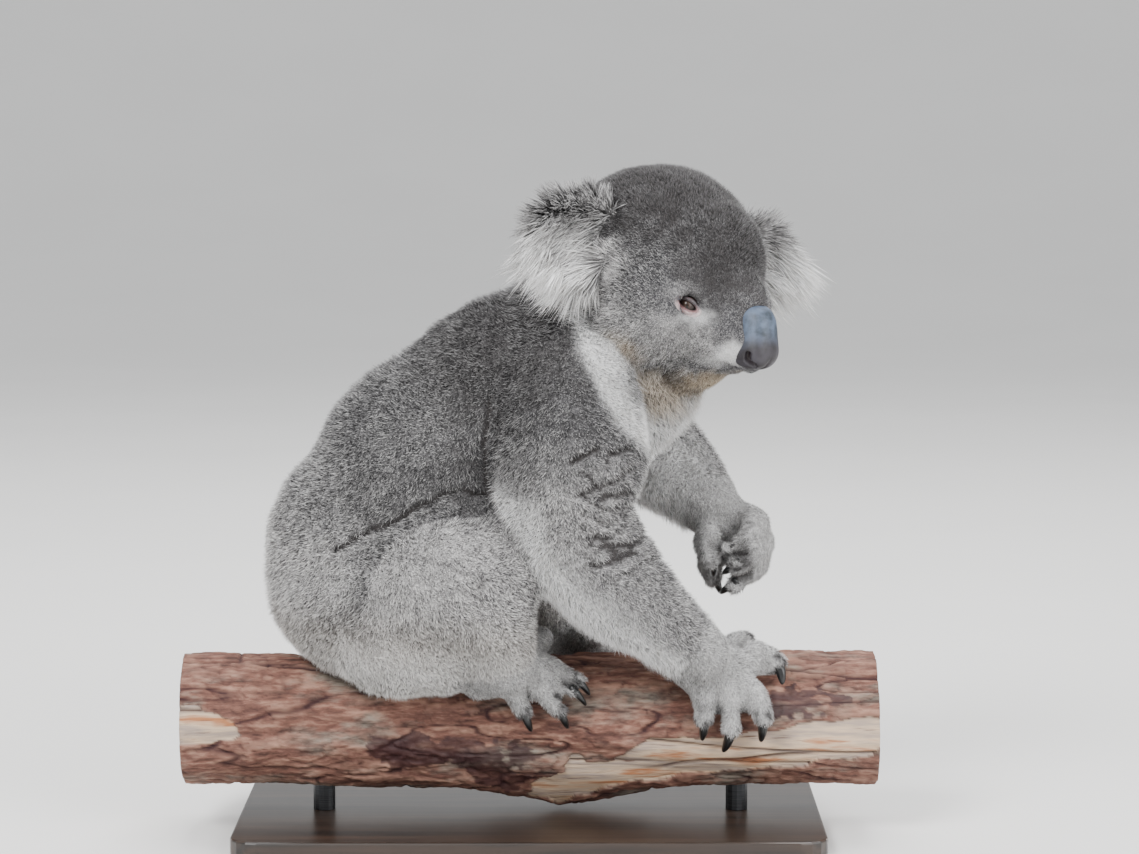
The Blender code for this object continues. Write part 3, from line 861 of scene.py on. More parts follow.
@dataclass(frozen=True)
class BarkFinish:
    """A weathered gum branch: flaky red-brown bark with grey weather stains and black-red resin, and
    where it has peeled, dry cream and grey wood with orange streaks along the grain. The resin's colour
    also paints shade into cracks, plate borders, splits and peel edges."""

    name: str = "gum bark and wood"
    bark_low: str = "#46302a"
    bark_mid: str = "#735045"
    bark_high: str = "#9b7867"
    stain_low: str = "#453c36"
    stain_high: str = "#857a6f"
    resin: str = "#331d1f"
    wood_grey: str = "#98897f"
    wood_cream: str = "#bfa78e"
    wood_orange: str = "#a06b49"
    wood_dark: str = "#583f34"

    def build(self) -> Material:
        """The material, which reads where the bark has peeled and how deep each point lies."""
        paint = Paint(self.name)
        marks = paint.marks("peeled", "deep", "gum", "high", "sawn")
        fine, streak, flake, broad = (
            paint.noise((along, across, across), detail, Roughness=0.62)
            for along, across, detail in ((24.0, 330.0, 5.0), (9.0, 75.0, 4.0),
                                          (48.0, 190.0, 8.0), (12.0, 34.0, 4.0))
        )
        bark = paint.ramp(flake, (0.33, self.bark_low), (0.5, self.bark_mid), (0.66, self.bark_high))
        stain = paint.ramp(flake, (0.36, self.stain_low), (0.62, self.stain_high))
        bark = paint.mix(bark, stain, paint.fit(broad, 0.5, 0.62))
        wood = paint.ramp(streak, (0.36, self.wood_orange), (0.45, self.wood_cream),
                          (0.56, self.wood_grey), (0.68, self.wood_cream))
        wood = paint.mix(wood, self.wood_dark, paint.fit(fine, 0.3, 0.42, 1.0, 0.0))
        rings = add(paint.tree, "TexWave", {"wave_type": "RINGS", "rings_direction": "X"},
                    Vector=paint.place, Scale=60.0, Distortion=2.0, Detail=3.0, Detail_Scale=2.0)
        sawn = paint.ramp(rings.outputs["Fac"], (0.1, self.wood_orange), (0.6, self.wood_cream),
                          (0.9, self.wood_grey))
        wood = paint.mix(wood, sawn, marks["sawn"])
        colour = paint.mix(bark, wood, marks["peeled"])
        colour = paint.mix(colour, self.bark_high, paint.maths("MULTIPLY", marks["high"], 0.45))
        colour = paint.mix(colour, self.resin, marks["gum"])
        # Painted shade: cracks, plate borders, splits and the lips of peeled patches take the resin's dark
        # colour.
        colour = paint.mix(colour, self.resin, marks["deep"])
        height = paint.mix(flake, fine, marks["peeled"])
        return paint.done(colour, (height, 0.8, 0.0016), Specular_IOR_Level=0.3,
                          Roughness=paint.fit(marks["gum"], 0.0, 1.0, 0.86, 0.42))


@dataclass(frozen=True)
class BoardFinish:
    """The base: oak stained near black under satin lacquer, its pores drawn out along the board."""

    name: str = "stained oak, satin lacquer"
    low: str = "#17110d"
    high: str = "#3a2b21"

    def build(self) -> Material:
        """The material."""
        paint = Paint(self.name)
        pores = paint.noise((6.0, 150.0, 60.0), 6.0, Distortion=0.6)
        colour = paint.ramp(pores, (0.35, self.low), (0.68, self.high))
        return paint.done(colour, (pores, 0.15, 0.0003),
                          Roughness=0.38, Coat_Weight=0.3, Coat_Roughness=0.25)


@dataclass(frozen=True)
class SteelFinish:
    """The rods: round mild steel, blackened in oil, with fine turning marks round them."""

    name: str = "oil-blackened steel"
    low: str = "#2b2c2e"
    high: str = "#4a4b4d"

    def build(self) -> Material:
        """The material."""
        paint = Paint(self.name)
        turned = paint.noise((20.0, 20.0, 2200.0), 2.0)
        colour = paint.ramp(turned, (0.3, self.low), (0.7, self.high))
        return paint.done(colour, (turned, 0.1, 0.0002), Roughness=0.34, Metallic=1.0)


# ---------------------------------------------------------------- the coat's regions
class Region(Enum):
    """The koala's parts as the coat sees them, by the start of their nodes' names."""

    HEAD = "head"
    JAW = "jaw"
    NECK = "neck"
    TRUNK = "trunk"
    EAR = "ear"
    UPPER_ARM = "upper_arm"
    FOREARM = "forearm"
    HAND = "hand"
    THIGH = "thigh"
    SHANK = "shank"
    FOOT = "foot"


@dataclass(frozen=True)
class Pelt:
    """How hair grows in one region.

    Attributes:
        length: a hair's length in metres.
        rise: the sine of its angle to the skin. Length times rise is the coat's depth.
        width: a tuft's width at its root in metres.
        crowd: tufts to a square millimetre, before the whole coat is brought to its budget.
        smooth: rounds of smoothing that the skin gets there.
    """

    length: float
    rise: float
    width: float
    crowd: float
    smooth: int

    @property
    def depth(self) -> float:
        """The coat's depth."""
        return self.length * self.rise


PELTS = {
    Region.HEAD: Pelt(0.0044, 0.72, 0.00046, 3.0, 6),
    Region.JAW: Pelt(0.0046, 0.5, 0.00046, 2.8, 3),
    Region.NECK: Pelt(0.012, 0.5, 0.0008, 1.1, 12),
    Region.TRUNK: Pelt(0.0066, 0.74, 0.00066, 1.15, 14),
    Region.EAR: Pelt(0.015, 0.55, 0.0006, 4.6, 3),
    Region.UPPER_ARM: Pelt(0.0064, 0.68, 0.00064, 1.3, 10),
    Region.FOREARM: Pelt(0.0062, 0.6, 0.0006, 1.4, 8),
    Region.HAND: Pelt(0.0042, 0.42, 0.0005, 2.6, 1),
    Region.THIGH: Pelt(0.0064, 0.72, 0.00066, 1.15, 10),
    Region.SHANK: Pelt(0.0062, 0.6, 0.00064, 1.3, 6),
    Region.FOOT: Pelt(0.0042, 0.42, 0.0005, 2.6, 1),
}
HAIR_MARKS = ("white", "tan", "dark", "silver")
MARKS = (*HAIR_MARKS, "bare")
ORDER = list(Region)
FLESH = [name for name in sorted(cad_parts)
         if any(name.startswith(r.value) for r in Region) and "claw" not in name]
REGION_OF = [next(r for r in Region if name.startswith(r.value)) for name in FLESH]
UNDERSIDE = unit(np.array([-0.6, 0.1, -0.78]))  # the way the rear edge of a planted arm faces


def on(region: Array, *names: Region) -> Array:
    """1 where a point's region, as its place in ORDER, is among those named, and 0 elsewhere."""
    return np.isin(region, [ORDER.index(name) for name in names]).astype(float)


def lumps(points: Array) -> tuple[Array, Array, Array]:
    """The body's loose lumps of wool, 17 mm across."""
    return clumps(points * [1.0, 1.0, 0.8], 0.017, 41)


def locks(points: Array) -> tuple[Array, Array, Array]:
    """The ears' locks, 8 mm across."""
    return clumps(points, 0.008, 71)


# ---------------------------------------------------------------- markings
@dataclass(frozen=True)
class Patch:
    """An ellipsoid of colour with a soft broken edge, from 0.45 to 1.4 of its radii out.

    Attributes:
        centre: in the head's frame or the model's, in metres.
        radii: along that frame's axes.
        strength: how far the colour goes at the middle.
        mirrored: whether its twin lies on the other side of the head.
    """

    centre: tuple[float, float, float]
    radii: tuple[float, float, float]
    strength: float = 1.0
    mirrored: bool = True

    def cover(self, points: Array) -> Array:
        """How far the patch covers each point.

        Args:
            points: places in the patch's frame.

        Returns:
            From 0 to the strength.
        """
        centre, radii = np.array(self.centre), np.array(self.radii)
        if self.mirrored:
            points = folded(points) * [1.0, np.sign(centre[1] or 1.0), 1.0]
        reach = np.linalg.norm((points - centre) / radii, axis=-1)
        reach += 0.3 * cloud(points, 0.0042, 61) + 0.2 * cloud(points, 0.01, 62)
        return self.strength * fall(reach, 0.45, 1.4)


@dataclass(frozen=True)
class Markings:
    """Where the coat is white, tan, dark or silver. Grey is the rest."""

    head: Axes

    face_white: tuple[Patch, ...] = (
        Patch((0.081, -0.016, -0.0575), (0.011, 0.0085, 0.0095), 0.85),
        Patch((0.07, -0.02, -0.064), (0.016, 0.01, 0.0045), 0.45),
        Patch((0.066, -0.034, -0.032), (0.015, 0.012, 0.007), 0.75),
    )
    face_silver: tuple[Patch, ...] = (
        Patch((0.052, -0.045, -0.054), (0.038, 0.032, 0.022), 0.7),
        Patch((0.06, -0.042, -0.016), (0.015, 0.014, 0.008), 0.3),
        Patch((0.01, -0.065, -0.05), (0.03, 0.024, 0.034), 0.55),
    )
    face_tan: tuple[Patch, ...] = (
        Patch((0.01, 0.0, -0.09), (0.05, 0.06, 0.016), 0.75),
        Patch((0.015, -0.068, -0.066), (0.026, 0.02, 0.018), 0.7),
        Patch((0.056, 0.0, -0.082), (0.026, 0.025, 0.013), 0.9),
    )
    face_dark: tuple[Patch, ...] = (
        Patch((0.01, 0.0, 0.06), (0.105, 0.09, 0.06), 0.95),
        Patch((0.06, 0.0, 0.01), (0.038, 0.044, 0.05), 0.88),
        # A painted shadow line along the top of the nose pad.
        Patch((0.083, 0.0, -0.0185), (0.01, 0.012, 0.0035), 0.7),
        Patch((-0.035, -0.06, -0.015), (0.025, 0.025, 0.03), 0.5),
        # Painted shadow at each corner of the mouth, under the cheek's fur.
        Patch((0.036, -0.025, -0.08), (0.011, 0.011, 0.005), 0.7),
    )
    rump: Patch = Patch((-0.165, 0.0, 0.185), (0.07, 0.13, 0.072), 1.0, False)
    nape: Patch = Patch((-0.01, 0.0, 0.35), (0.09, 0.13, 0.065), 0.62, False)
    # Painted shade on the flank under each arm, darkening the coat there.
    flank: Patch = Patch((-0.04, -0.105, 0.268), (0.038, 0.035, 0.034), 0.55)
    throat: Patch = Patch((0.092, -0.05, 0.326), (0.038, 0.046, 0.023), 0.95)
    bib_edge: tuple = (  # heights, and how far ahead the bib starts at each
        (0.255, 0.285, 0.301, 0.328, 0.358, 0.386, 0.405),
        (0.12, 0.079, 0.062, 0.046, 0.032, 0.026, 0.036),
    )

    @staticmethod
    def near(patches: tuple[Patch, ...], inside: Array) -> Array:
        """The strongest cover of several patches."""
        return np.maximum.reduce([patch.cover(inside) for patch in patches])

    def at(self, points: Array, normals: Array, region: Array) -> dict[str, Array]:
        """The markings at points on the skin.

        Args:
            points: places in the model's frame.
            normals: the skin's directions there.
            region: each point's region, as its place in ORDER.

        Returns:
            Numbers from 0 to 1 under each of HAIR_MARKS.
        """
        z = points[:, 2]
        drift = 0.25 * cloud(points, 0.03, 51) + 0.15 * cloud(points, 0.011, 52)
        face = on(region, Region.HEAD, Region.JAW)
        front = on(region, Region.NECK, Region.TRUNK)
        seat = on(region, Region.THIGH, Region.SHANK, Region.TRUNK)
        inside = self.head.inside(points)
        white, tan, dark, silver = (face * self.near(patches, inside) for patches in (
            self.face_white, self.face_tan, self.face_dark, self.face_silver))

        white = np.maximum(white, self.body_white(points, normals, region, drift))
        silver = np.maximum(silver, self.body_silver(points, region) * (1.0 + drift))
        # nape here also carries the painted shade on the flank, next to the darker fur of the nape.
        nape = np.maximum(self.nape.cover(points), self.flank.cover(points))
        body = on(region, Region.NECK, Region.TRUNK, Region.UPPER_ARM)
        dark = np.maximum(dark, body * nape * (1.0 - white))
        throat = self.throat.cover(points)
        tan = np.maximum.reduce([tan, 0.55 * seat * fall(z, 0.1, 0.185), front * throat])
        white = white * (1.0 - 0.85 * throat)
        found = {"white": white, "tan": tan * (1.0 - 0.4 * white), "dark": dark, "silver": silver}
        return {name: np.clip(values, 0.0, 1.0) for name, values in found.items()}

    def body_white(self, points: Array, normals: Array, region: Array, drift: Array) -> Array:
        """The bib, the chest, the arms' undersides and inner sides, the seat, the hands and the feet.

        Args:
            points: places in the model's frame.
            normals: the skin's directions there.
            region: each point's region.
            drift: noise that breaks the edges up.

        Returns:
            Numbers from 0 to 1.
        """
        x, y, z = points.T
        arms = on(region, Region.UPPER_ARM, Region.FOREARM)
        bib = on(region, Region.NECK, Region.TRUNK, Region.UPPER_ARM) * fall(z, 0.395, 0.41)
        bib *= ramp(x - np.interp(z, *self.bib_edge), -0.004, 0.006)
        bib *= fall(y + 0.5 * on(region, Region.UPPER_ARM) * (y > 0.0) + 0.02 * drift, 0.04, 0.062)
        chest = on(region, Region.NECK, Region.TRUNK) * ramp(normals[:, 0] - normals[:, 2], 0.5, 1.2)
        under = arms * ramp(normals @ UNDERSIDE + 0.3 * drift, 0.08, 0.5)
        under *= fall(z + 0.02 * drift, 0.245, 0.27)
        inner = arms * ramp(-normals[:, 1] * np.sign(y), 0.3, 0.9) * 0.6
        seat = on(region, Region.THIGH, Region.SHANK, Region.TRUNK)
        seat = seat * fall(z + 0.02 * drift, 0.118, 0.165) * 0.6
        ends = on(region, Region.HAND, Region.FOOT) * 0.3
        return np.maximum.reduce([bib, chest, under, inner, seat, ends])

    def body_silver(self, points: Array, region: Array) -> Array:
        """Silver on the rump, the legs, the lower arms, the hands and the feet, and a little behind.

        Args:
            points: places in the model's frame.
            region: each point's region.

        Returns:
            Numbers from 0 to 1.
        """
        x, _, z = points.T
        back = ramp(-x, -0.03, 0.11) * 0.55 + 0.45 * ramp(-z, -0.3, -0.19)
        level = on(region, Region.TRUNK) * np.maximum(back * 0.34, self.rump.cover(points))
        level += on(region, Region.THIGH, Region.SHANK)
        level += on(region, Region.UPPER_ARM) * (0.7 - 0.6 * ramp(z, 0.24, 0.31))
        return level + on(region, Region.FOREARM) * 0.55 + on(region, Region.HAND, Region.FOOT) * 0.72


# ---------------------------------------------------------------- ears
@dataclass
class Ear:
    """A round cupped ear under its long fringe, in the frame (out, up, through its face)."""

    side: str
    nose: Array
    reach_share: float = 0.74
    height_share: float = 0.66
    cup: float = 0.0085
    thickness: float = 0.005
    rings: int = 14
    around: int = 48
    axes: Axes = field(init=False)
    half: Array = field(init=False)

    def __post_init__(self) -> None:
        """Measures the ear's solid."""
        self.axes = ear_axes("ear_" + self.side, self.nose)
        local = self.axes.inside(solid_points("ear_" + self.side))
        low, high = local.min(axis=0), local.max(axis=0)
        self.half = (high - low) / 2
        self.axes = Axes(self.axes.outside((high + low) / 2), self.axes.rows)

    def shell(self) -> Mesh:
        """The ear's flesh: a disc dished towards its face, with a rounded rim.

        The distance r from the middle runs from 0 to 1 on the face, round the rim, and back to 0
        behind, as the sine of an angle. The depth is cup times r squared, and half the thickness times
        the cosine^0.4 of that angle.

        Returns:
            A closed mesh.
        """
        turn = turns(self.around)
        down = np.linspace(0.0, math.pi, 2 * self.rings + 1)
        r = np.sin(down)[:, None]
        side = (np.sign(np.cos(down)) * np.abs(np.cos(down)) ** 0.4)[:, None]
        out = self.half[0] * self.reach_share
        tall = self.half[1] * self.height_share
        across = np.stack([
            r * np.cos(turn) * out - self.half[0] * 0.34,
            r * np.sin(turn) * tall + self.half[1] * 0.1,
            self.cup * (r**2 - 0.6) + side * self.thickness / 2 + 0.0 * turn,
        ], axis=-1)
        return welded("ear_shell", self.axes.outside(across), 1e-5)

    def lie(self, points: Array, normals: Array) -> Array:
        """Which way hair lies on the ear: its locks sweep out and down, and its crown fluffs up.

        Args:
            points: places on the ear.
            normals: the skin's directions there.

        Returns:
            One direction a place.
        """
        local = self.axes.inside(points)
        facing = ramp(normals @ self.axes.rows[2], -0.2, 0.4)[:, None]
        high = ramp(local[:, 1], 0.15 * self.half[1], 0.75 * self.half[1])[:, None]
        radial = unit(local * [1.0, 1.0, 0.0] + [0.35 * self.half[0], 0.0, 0.0])
        hanging = unit(blend(np.array([0.78, -0.62, 0.08]), np.array([0.92, -0.34, 0.12]), high))
        fluff = radial + [0.45, 0.15, 0.25]
        return unit(blend(fluff, hanging, facing * (1.0 - 0.85 * high))) @ self.axes.rows


# ---------------------------------------------------------------- the skin
@dataclass
class Digit:
    """A finger or toe that the hand's solid leaves short: flesh that closes over its claw's root.

    Attributes:
        claw: its claw.
        knuckle: the digit's radius where it starts.
        tip: its radius at its end.
        back: how far behind the claw's root it starts.
        cover: the share of the claw that it covers.
        rings: circles along it.
        around: points in a circle.
    """

    claw: "Claw"
    knuckle: float
    tip: float
    back: float
    cover: float
    rings: int = 18
    around: int = 20

    def build(self) -> Mesh:
        """Carries a circle from behind the claw's root over its first part, and rounds its end."""
        (root, mid, tip), _ = self.claw.line()
        ahead = unit(mid - root)
        side = np.cross(ahead, unit(tip - root) + [0.0, 0.0, 0.01])
        start = root - unit(blend(unit(root - self.claw.holder), ahead, 0.55)) * self.back
        end = blend(root, mid, 2.0 * self.cover)
        t = np.linspace(0.0, 1.0, self.rings)[:, None]
        bend = 2.0 * (root - ahead * 0.001) - 0.5 * (start + end)
        spine = bowed(start, bend, end, t)
        along = unit(np.gradient(spine, axis=0))
        size = blend(self.knuckle, self.tip, t) * (1.0 - np.clip((t - 0.72) / 0.28, 0.0, 1.0) ** 2.2) ** 0.5
        size = size * (1.0 - (1.0 - np.clip(t / 0.2, 0.0, 1.0)) ** 2) ** 0.5
        return welded("digit", tube(spine, along, side, size, turns(self.around), 1.0), 1e-5)

    def line(self) -> tuple[Array, Array]:
        """The ends of the digit's straight middle line, from 14 mm behind the claw's root."""
        (root, mid, _), _ = self.claw.line()
        ahead = unit(root - self.claw.holder)
        return root - ahead * 0.014, blend(root, mid, 2.0 * self.cover)


FINGER = (0.0074, 0.0066, 0.022, 0.5)
TOE = (0.0056, 0.0052, 0.018, 0.46)


@dataclass
class Skin:
    """The koala's one skin, with what grows where worked out for each of its points."""

    head: Axes
    ears: dict[str, Ear]
    digits: list[Digit]
    nose: "Nose"
    voxel: float = 0.0023
    crease_deep: float = 0.0028
    web_deep: float = 0.0014
    socket_deep: float = 0.011
    mouth_deep: float = 0.0026
    pad_deep: float = 0.004
    points: Array = field(init=False)
    normals: Array = field(init=False)
    triangles: Array = field(init=False)
    mesh: Mesh = field(init=False)
    whole: BVHTree = field(init=False)

    def owners(self, points: Array) -> Array:
        """The flesh node nearest to each point.

        Args:
            points: places in the model's frame.

        Returns:
            Each one's place in FLESH.
        """
        corners, faces, owner = [], [], []
        for index, name in enumerate(FLESH):
            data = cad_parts[name].data
            start = len(corners)
            corners += [v.co for v in data.vertices]
            faces += [[start + i for i in p.vertices] for p in data.polygons]
            owner += [index] * len(data.polygons)
        tree = BVHTree.FromPolygons(corners, faces)
        return np.array([owner[tree.find_nearest(p)[2]] for p in points.tolist()])

    def build(self) -> None:
        """Fuses the flesh, draws it in by the coat's depth, and details the face and the digits."""
        bodies = [solid(name, 0.00045) for name in (*FLESH, "nose") if not name.startswith("ear")]
        flesh = fused("flesh", bodies, self.voxel)
        points, _, edges, _ = arrays_of(flesh)
        net = Net(len(points), edges)
        pelts = [PELTS[r] for r in REGION_OF]
        owner = self.owners(points)
        rounds = net.spread(np.array([p.smooth for p in pelts], float)[owner][:, None], 8)[:, 0]
        for step in range(14):
            points = net.spread(points, 1, 0.5 * (rounds > step))
        depth = net.spread(np.array([p.depth for p in pelts])[owner][:, None], 14)[:, 0]
        depth *= self.shortness(self.head.inside(points))
        for _ in range(3):
            set_points(flesh, points)
            points = points - arrays_of(flesh)[1] * depth[:, None] / 3.0
        set_points(flesh, points)
        extras = [ear.shell() for ear in self.ears.values()] + [digit.build() for digit in self.digits]
        self.mesh = fused("skin", [flesh, *extras], self.voxel)
        points, _, edges, _ = arrays_of(self.mesh)
        self.move(Net(len(points), edges).spread(points, 2))
        self.refine()
        self.part_digits()
        self.move(self.points - self.normals * (self.crease_deep * creases(self.points))[:, None])
        self.press_eyes()
        self.press_muzzle()

    def shortness(self, inside: Array) -> Array:
        """How much shorter hair is near the nose and the eyes: 0.35 there, and 1 farther away.

        Args:
            inside: places in the head's frame.

        Returns:
            One factor a place.
        """
        mirrored = folded(inside)
        nose = np.linalg.norm(mirrored - [0.088, 0.0, -0.046], axis=1)
        eye = np.linalg.norm(mirrored - [0.062, 0.04, -0.0245], axis=1)
        return 0.35 + 0.65 * np.minimum(ramp(nose, 0.018, 0.065), ramp(eye, 0.006, 0.045))

    def move(self, points: Array) -> None:
        """Sets the skin's points and takes its arrays again."""
        set_points(self.mesh, points)
        self.points, self.normals, _, self.triangles = arrays_of(self.mesh)

    def refine(self) -> None:
        """Halves the squares of the skin on the front of the face, the hands and the feet."""
        inside = self.head.inside(self.points)
        wanted = (inside[:, 0] > 0.036) & (inside[:, 2] > -0.1) & (inside[:, 2] < 0.0)
        wanted &= np.abs(inside[:, 1]) < 0.056
        for digit in self.digits:
            start, end = digit.line()
            wanted |= segment_distance(self.points, start, end)[0] < 0.0125
        shape = bmesh.new()
        shape.from_mesh(self.mesh)
        edges = [e for e in shape.edges if wanted[e.verts[0].index] and wanted[e.verts[1].index]]
        bmesh.ops.subdivide_edges(shape, edges=edges, cuts=1, use_grid_fill=True)
        bmesh.ops.triangulate(shape, faces=[f for f in shape.faces if len(f.verts) > 4])
        shape.to_mesh(self.mesh)
        shape.free()
        points, _, edges, _ = arrays_of(self.mesh)
        self.move(Net(len(points), edges).spread(points, 2, 0.3))

    def between(self) -> tuple[Array, Array]:
        """Finds the webs, where a point's nearest two digits are equally far away.

        Returns:
            How near each of the skin's points is to such a place, from 0 to 1, and its share along
            its nearest digit.
        """
        reach = np.full((len(self.digits), len(self.points)), 1.0)
        share = np.zeros_like(reach)
        for index, digit in enumerate(self.digits):
            reach[index], share[index] = segment_distance(self.points, *digit.line())
        order = np.argsort(reach, axis=0)
        first = np.take_along_axis(reach, order[:1], 0)[0]
        second = np.take_along_axis(reach, order[1:2], 0)[0]
        along = np.take_along_axis(share, order[:1], 0)[0]
        close = fall(second, 0.014, 0.02)
        return bell(second - first, 0.0042) * close, along

    def part_digits(self) -> None:
        """Presses the webs between digits inwards, more and more towards their ends."""
        for _ in range(4):
            gap, along = self.between()
            sink = self.web_deep * gap * ramp(along, 0.0, 0.5)
            self.move(self.points - self.normals * sink[:, None])

    def press_eyes(self) -> None:
        """Presses a hollow for each eyeball under its lids, and keeps the whole skin's shape."""
        self.whole = BVHTree.FromPolygons(self.points.tolist(), self.triangles.tolist())
        points = self.points
        for side in SIDES:
            eye = eye_axes(self.head, side)
            local = eye.inside(points)
            amount = lid_cover(local, 0.021) * self.socket_deep
            points = points - amount[:, None] * eye.rows[2]
        self.move(points)

    def press_muzzle(self) -> None:
        """Presses the mouth's line in, sets the chin back, and makes room under the nose pad."""
        inside = self.head.inside(self.points)
        reach = mouth_distance(inside)
        amount = self.mouth_deep * bell(reach, 0.002)
        points = self.points - amount[:, None] * self.normals
        chin = ramp(inside[:, 0], 0.03, 0.066) * ramp(-inside[:, 2], 0.069, 0.078)
        chin *= fall(-inside[:, 2], 0.102, 0.13)
        points = points + self.head.turned([-0.004, 0.0, 0.0055]) * chin[:, None]
        bulk = self.nose.bulk(self.head.inside(points))
        sink = self.pad_deep * fall(bulk, 0.9, 1.06)
        middle_point = self.head.outside(np.array(self.nose.centre) - [0.012, 0.0, 0.0])
        self.move(points + unit(middle_point - points) * sink[:, None])

    def unwrap(self) -> Array:
        """Lays the skin out flat, and returns the UV pair of each triangle's corners."""
        holder = placed("unwrap", self.mesh)
        bpy.context.view_layer.objects.active = holder
        holder.select_set(True)
        self.mesh.uv_layers.new(name="OFBake")
        bpy.ops.object.mode_set(mode="EDIT")
        bpy.ops.mesh.select_all(action="SELECT")
        bpy.ops.uv.smart_project(angle_limit=math.radians(72.0), island_margin=0.002)
        bpy.ops.object.mode_set(mode="OBJECT")
        bpy.data.objects.remove(holder)
        self.mesh.calc_loop_triangles()
        loops = np.empty(len(self.mesh.loop_triangles) * 3, np.int32)
        self.mesh.loop_triangles.foreach_get("loops", loops)
        flat_uv = np.empty(len(self.mesh.loops) * 2, np.float32)
        self.mesh.uv_layers["OFBake"].uv.foreach_get("vector", flat_uv)
        return flat_uv.reshape(-1, 2)[loops].reshape(-1, 3, 2).astype(float)


MOUTH_LINE = np.array([  # the head's frame, from the corner of the mouth to below the nose
    (0.033, 0.028, -0.078), (0.042, 0.025, -0.0745), (0.054, 0.0215, -0.07),
    (0.065, 0.0195, -0.066), (0.075, 0.015, -0.0665), (0.08, 0.006, -0.069),
    (0.081, 0.0, -0.069),
])


def segment_distance(points: Array, start: Array, end: Array) -> tuple[Array, Array]:
    """Measures the way from points to a straight segment.

    Args:
        points: one row a point.
        start: the segment's first end.
        end: its second end.

    Returns:
        Each point's distance, and the share along the segment of the place nearest to it.
    """
    way = end - start
    share = np.clip(((points - start) @ way) / (way @ way), 0.0, 1.0)
    return np.linalg.norm(points - start - share[:, None] * way, axis=1), share


FOLDS = (  # the deepest creases of the right side, as (place along, height) in metres
    ((-0.1368, 0.2123), (-0.0996, 0.2302), (-0.0727, 0.2466), (-0.0471, 0.2569), (-0.0306, 0.2521)),
    ((-0.0257, 0.3207), (-0.0319, 0.2864), (-0.0285, 0.2569), (-0.02, 0.243)),
    ((0.0343, 0.2576), (0.0564, 0.2638), (0.0688, 0.2706)), ((0.0508, 0.2549), (0.0709, 0.2569)),
    ((0.0302, 0.2809), (0.0467, 0.2885)), ((0.0557, 0.2837), (0.0688, 0.2857)),
    ((0.0626, 0.2453), (0.075, 0.2466)), ((0.0433, 0.2261), (0.0557, 0.2281)),
    ((0.0508, 0.2226), (0.0799, 0.2226)), ((0.0433, 0.2068), (0.0736, 0.2144)),
)


def partings(points: Array) -> Array:
    """1 on the partings between lumps of wool 17 mm across, where the wool has parted, and 0 off them."""
    return fall(lumps(points)[2], 0.0004, 0.003) * ramp(cloud(points, 0.045, 9), -0.25, 0.35)


def creases(points: Array) -> Array:
    """How far in a crease of the loose skin each point lies, from 0 to 1.

    The placed folds of the right side, and on the front of both upper arms wavy level lines, where
    the height over 12 mm plus noise comes halfway between whole numbers and other noise is high.

    Args:
        points: places in the model's frame.

    Returns:
        One number a place.
    """
    wobble = points + 0.0026 * cloud(points, 0.01, 47)[:, None] * [0.3, 0.0, 1.0]
    level = wobble * [1.0, 0.0, 1.0]
    reaches = [segment_distance(level, np.array([a[0], 0.0, a[1]]), np.array([b[0], 0.0, b[1]]))[0]
               for fold in FOLDS for a, b in zip(fold, fold[1:])]
    found = bell(np.minimum.reduce(reaches), 0.003) * (points[:, 1] < -0.045)
    x, y, z = points.T
    phase = (z + 0.25 * x) / 0.012 + 1.1 * cloud(points, 0.028, 44) + 0.4 * cloud(points, 0.011, 45)
    line = bell(phase - np.floor(phase) - 0.5, 0.16) * ramp(cloud(points, 0.022, 46), 0.0, 0.2)
    arm = ramp(x, 0.02, 0.04) * ramp(z, 0.185, 0.2) * fall(z, 0.29, 0.31)
    arm = arm * (np.abs(y) > 0.045)
    return np.maximum(found, 0.82 * line * arm * (x < 0.14))


def mouth_distance(inside: Array) -> Array:
    """How far each place in the head's frame lies from the line of the mouth."""
    reaches = [segment_distance(folded(inside), *ends)[0] for ends in zip(MOUTH_LINE, MOUTH_LINE[1:])]
    return np.minimum.reduce(reaches)


def eye_axes(head: Axes, side: str) -> Axes:
    """An eye's frame, sunk by the coat's depth and the lids' thickness below its solid's middle.

    Args:
        head: the head's frame.
        side: left or right.

    Returns:
        The frame (towards the eye's inner corner, up across it, out of it).
    """
    sign = SIDES[side]
    out = unit(head.turned([0.66, 0.74 * sign, 0.08]))
    along = flat(head.turned([0.655, -0.655 * sign, -0.4]), out)
    across = np.cross(out, along) * -sign
    return Axes(middle("eye_" + side) - 0.006 * out, np.stack([along, across, out]))


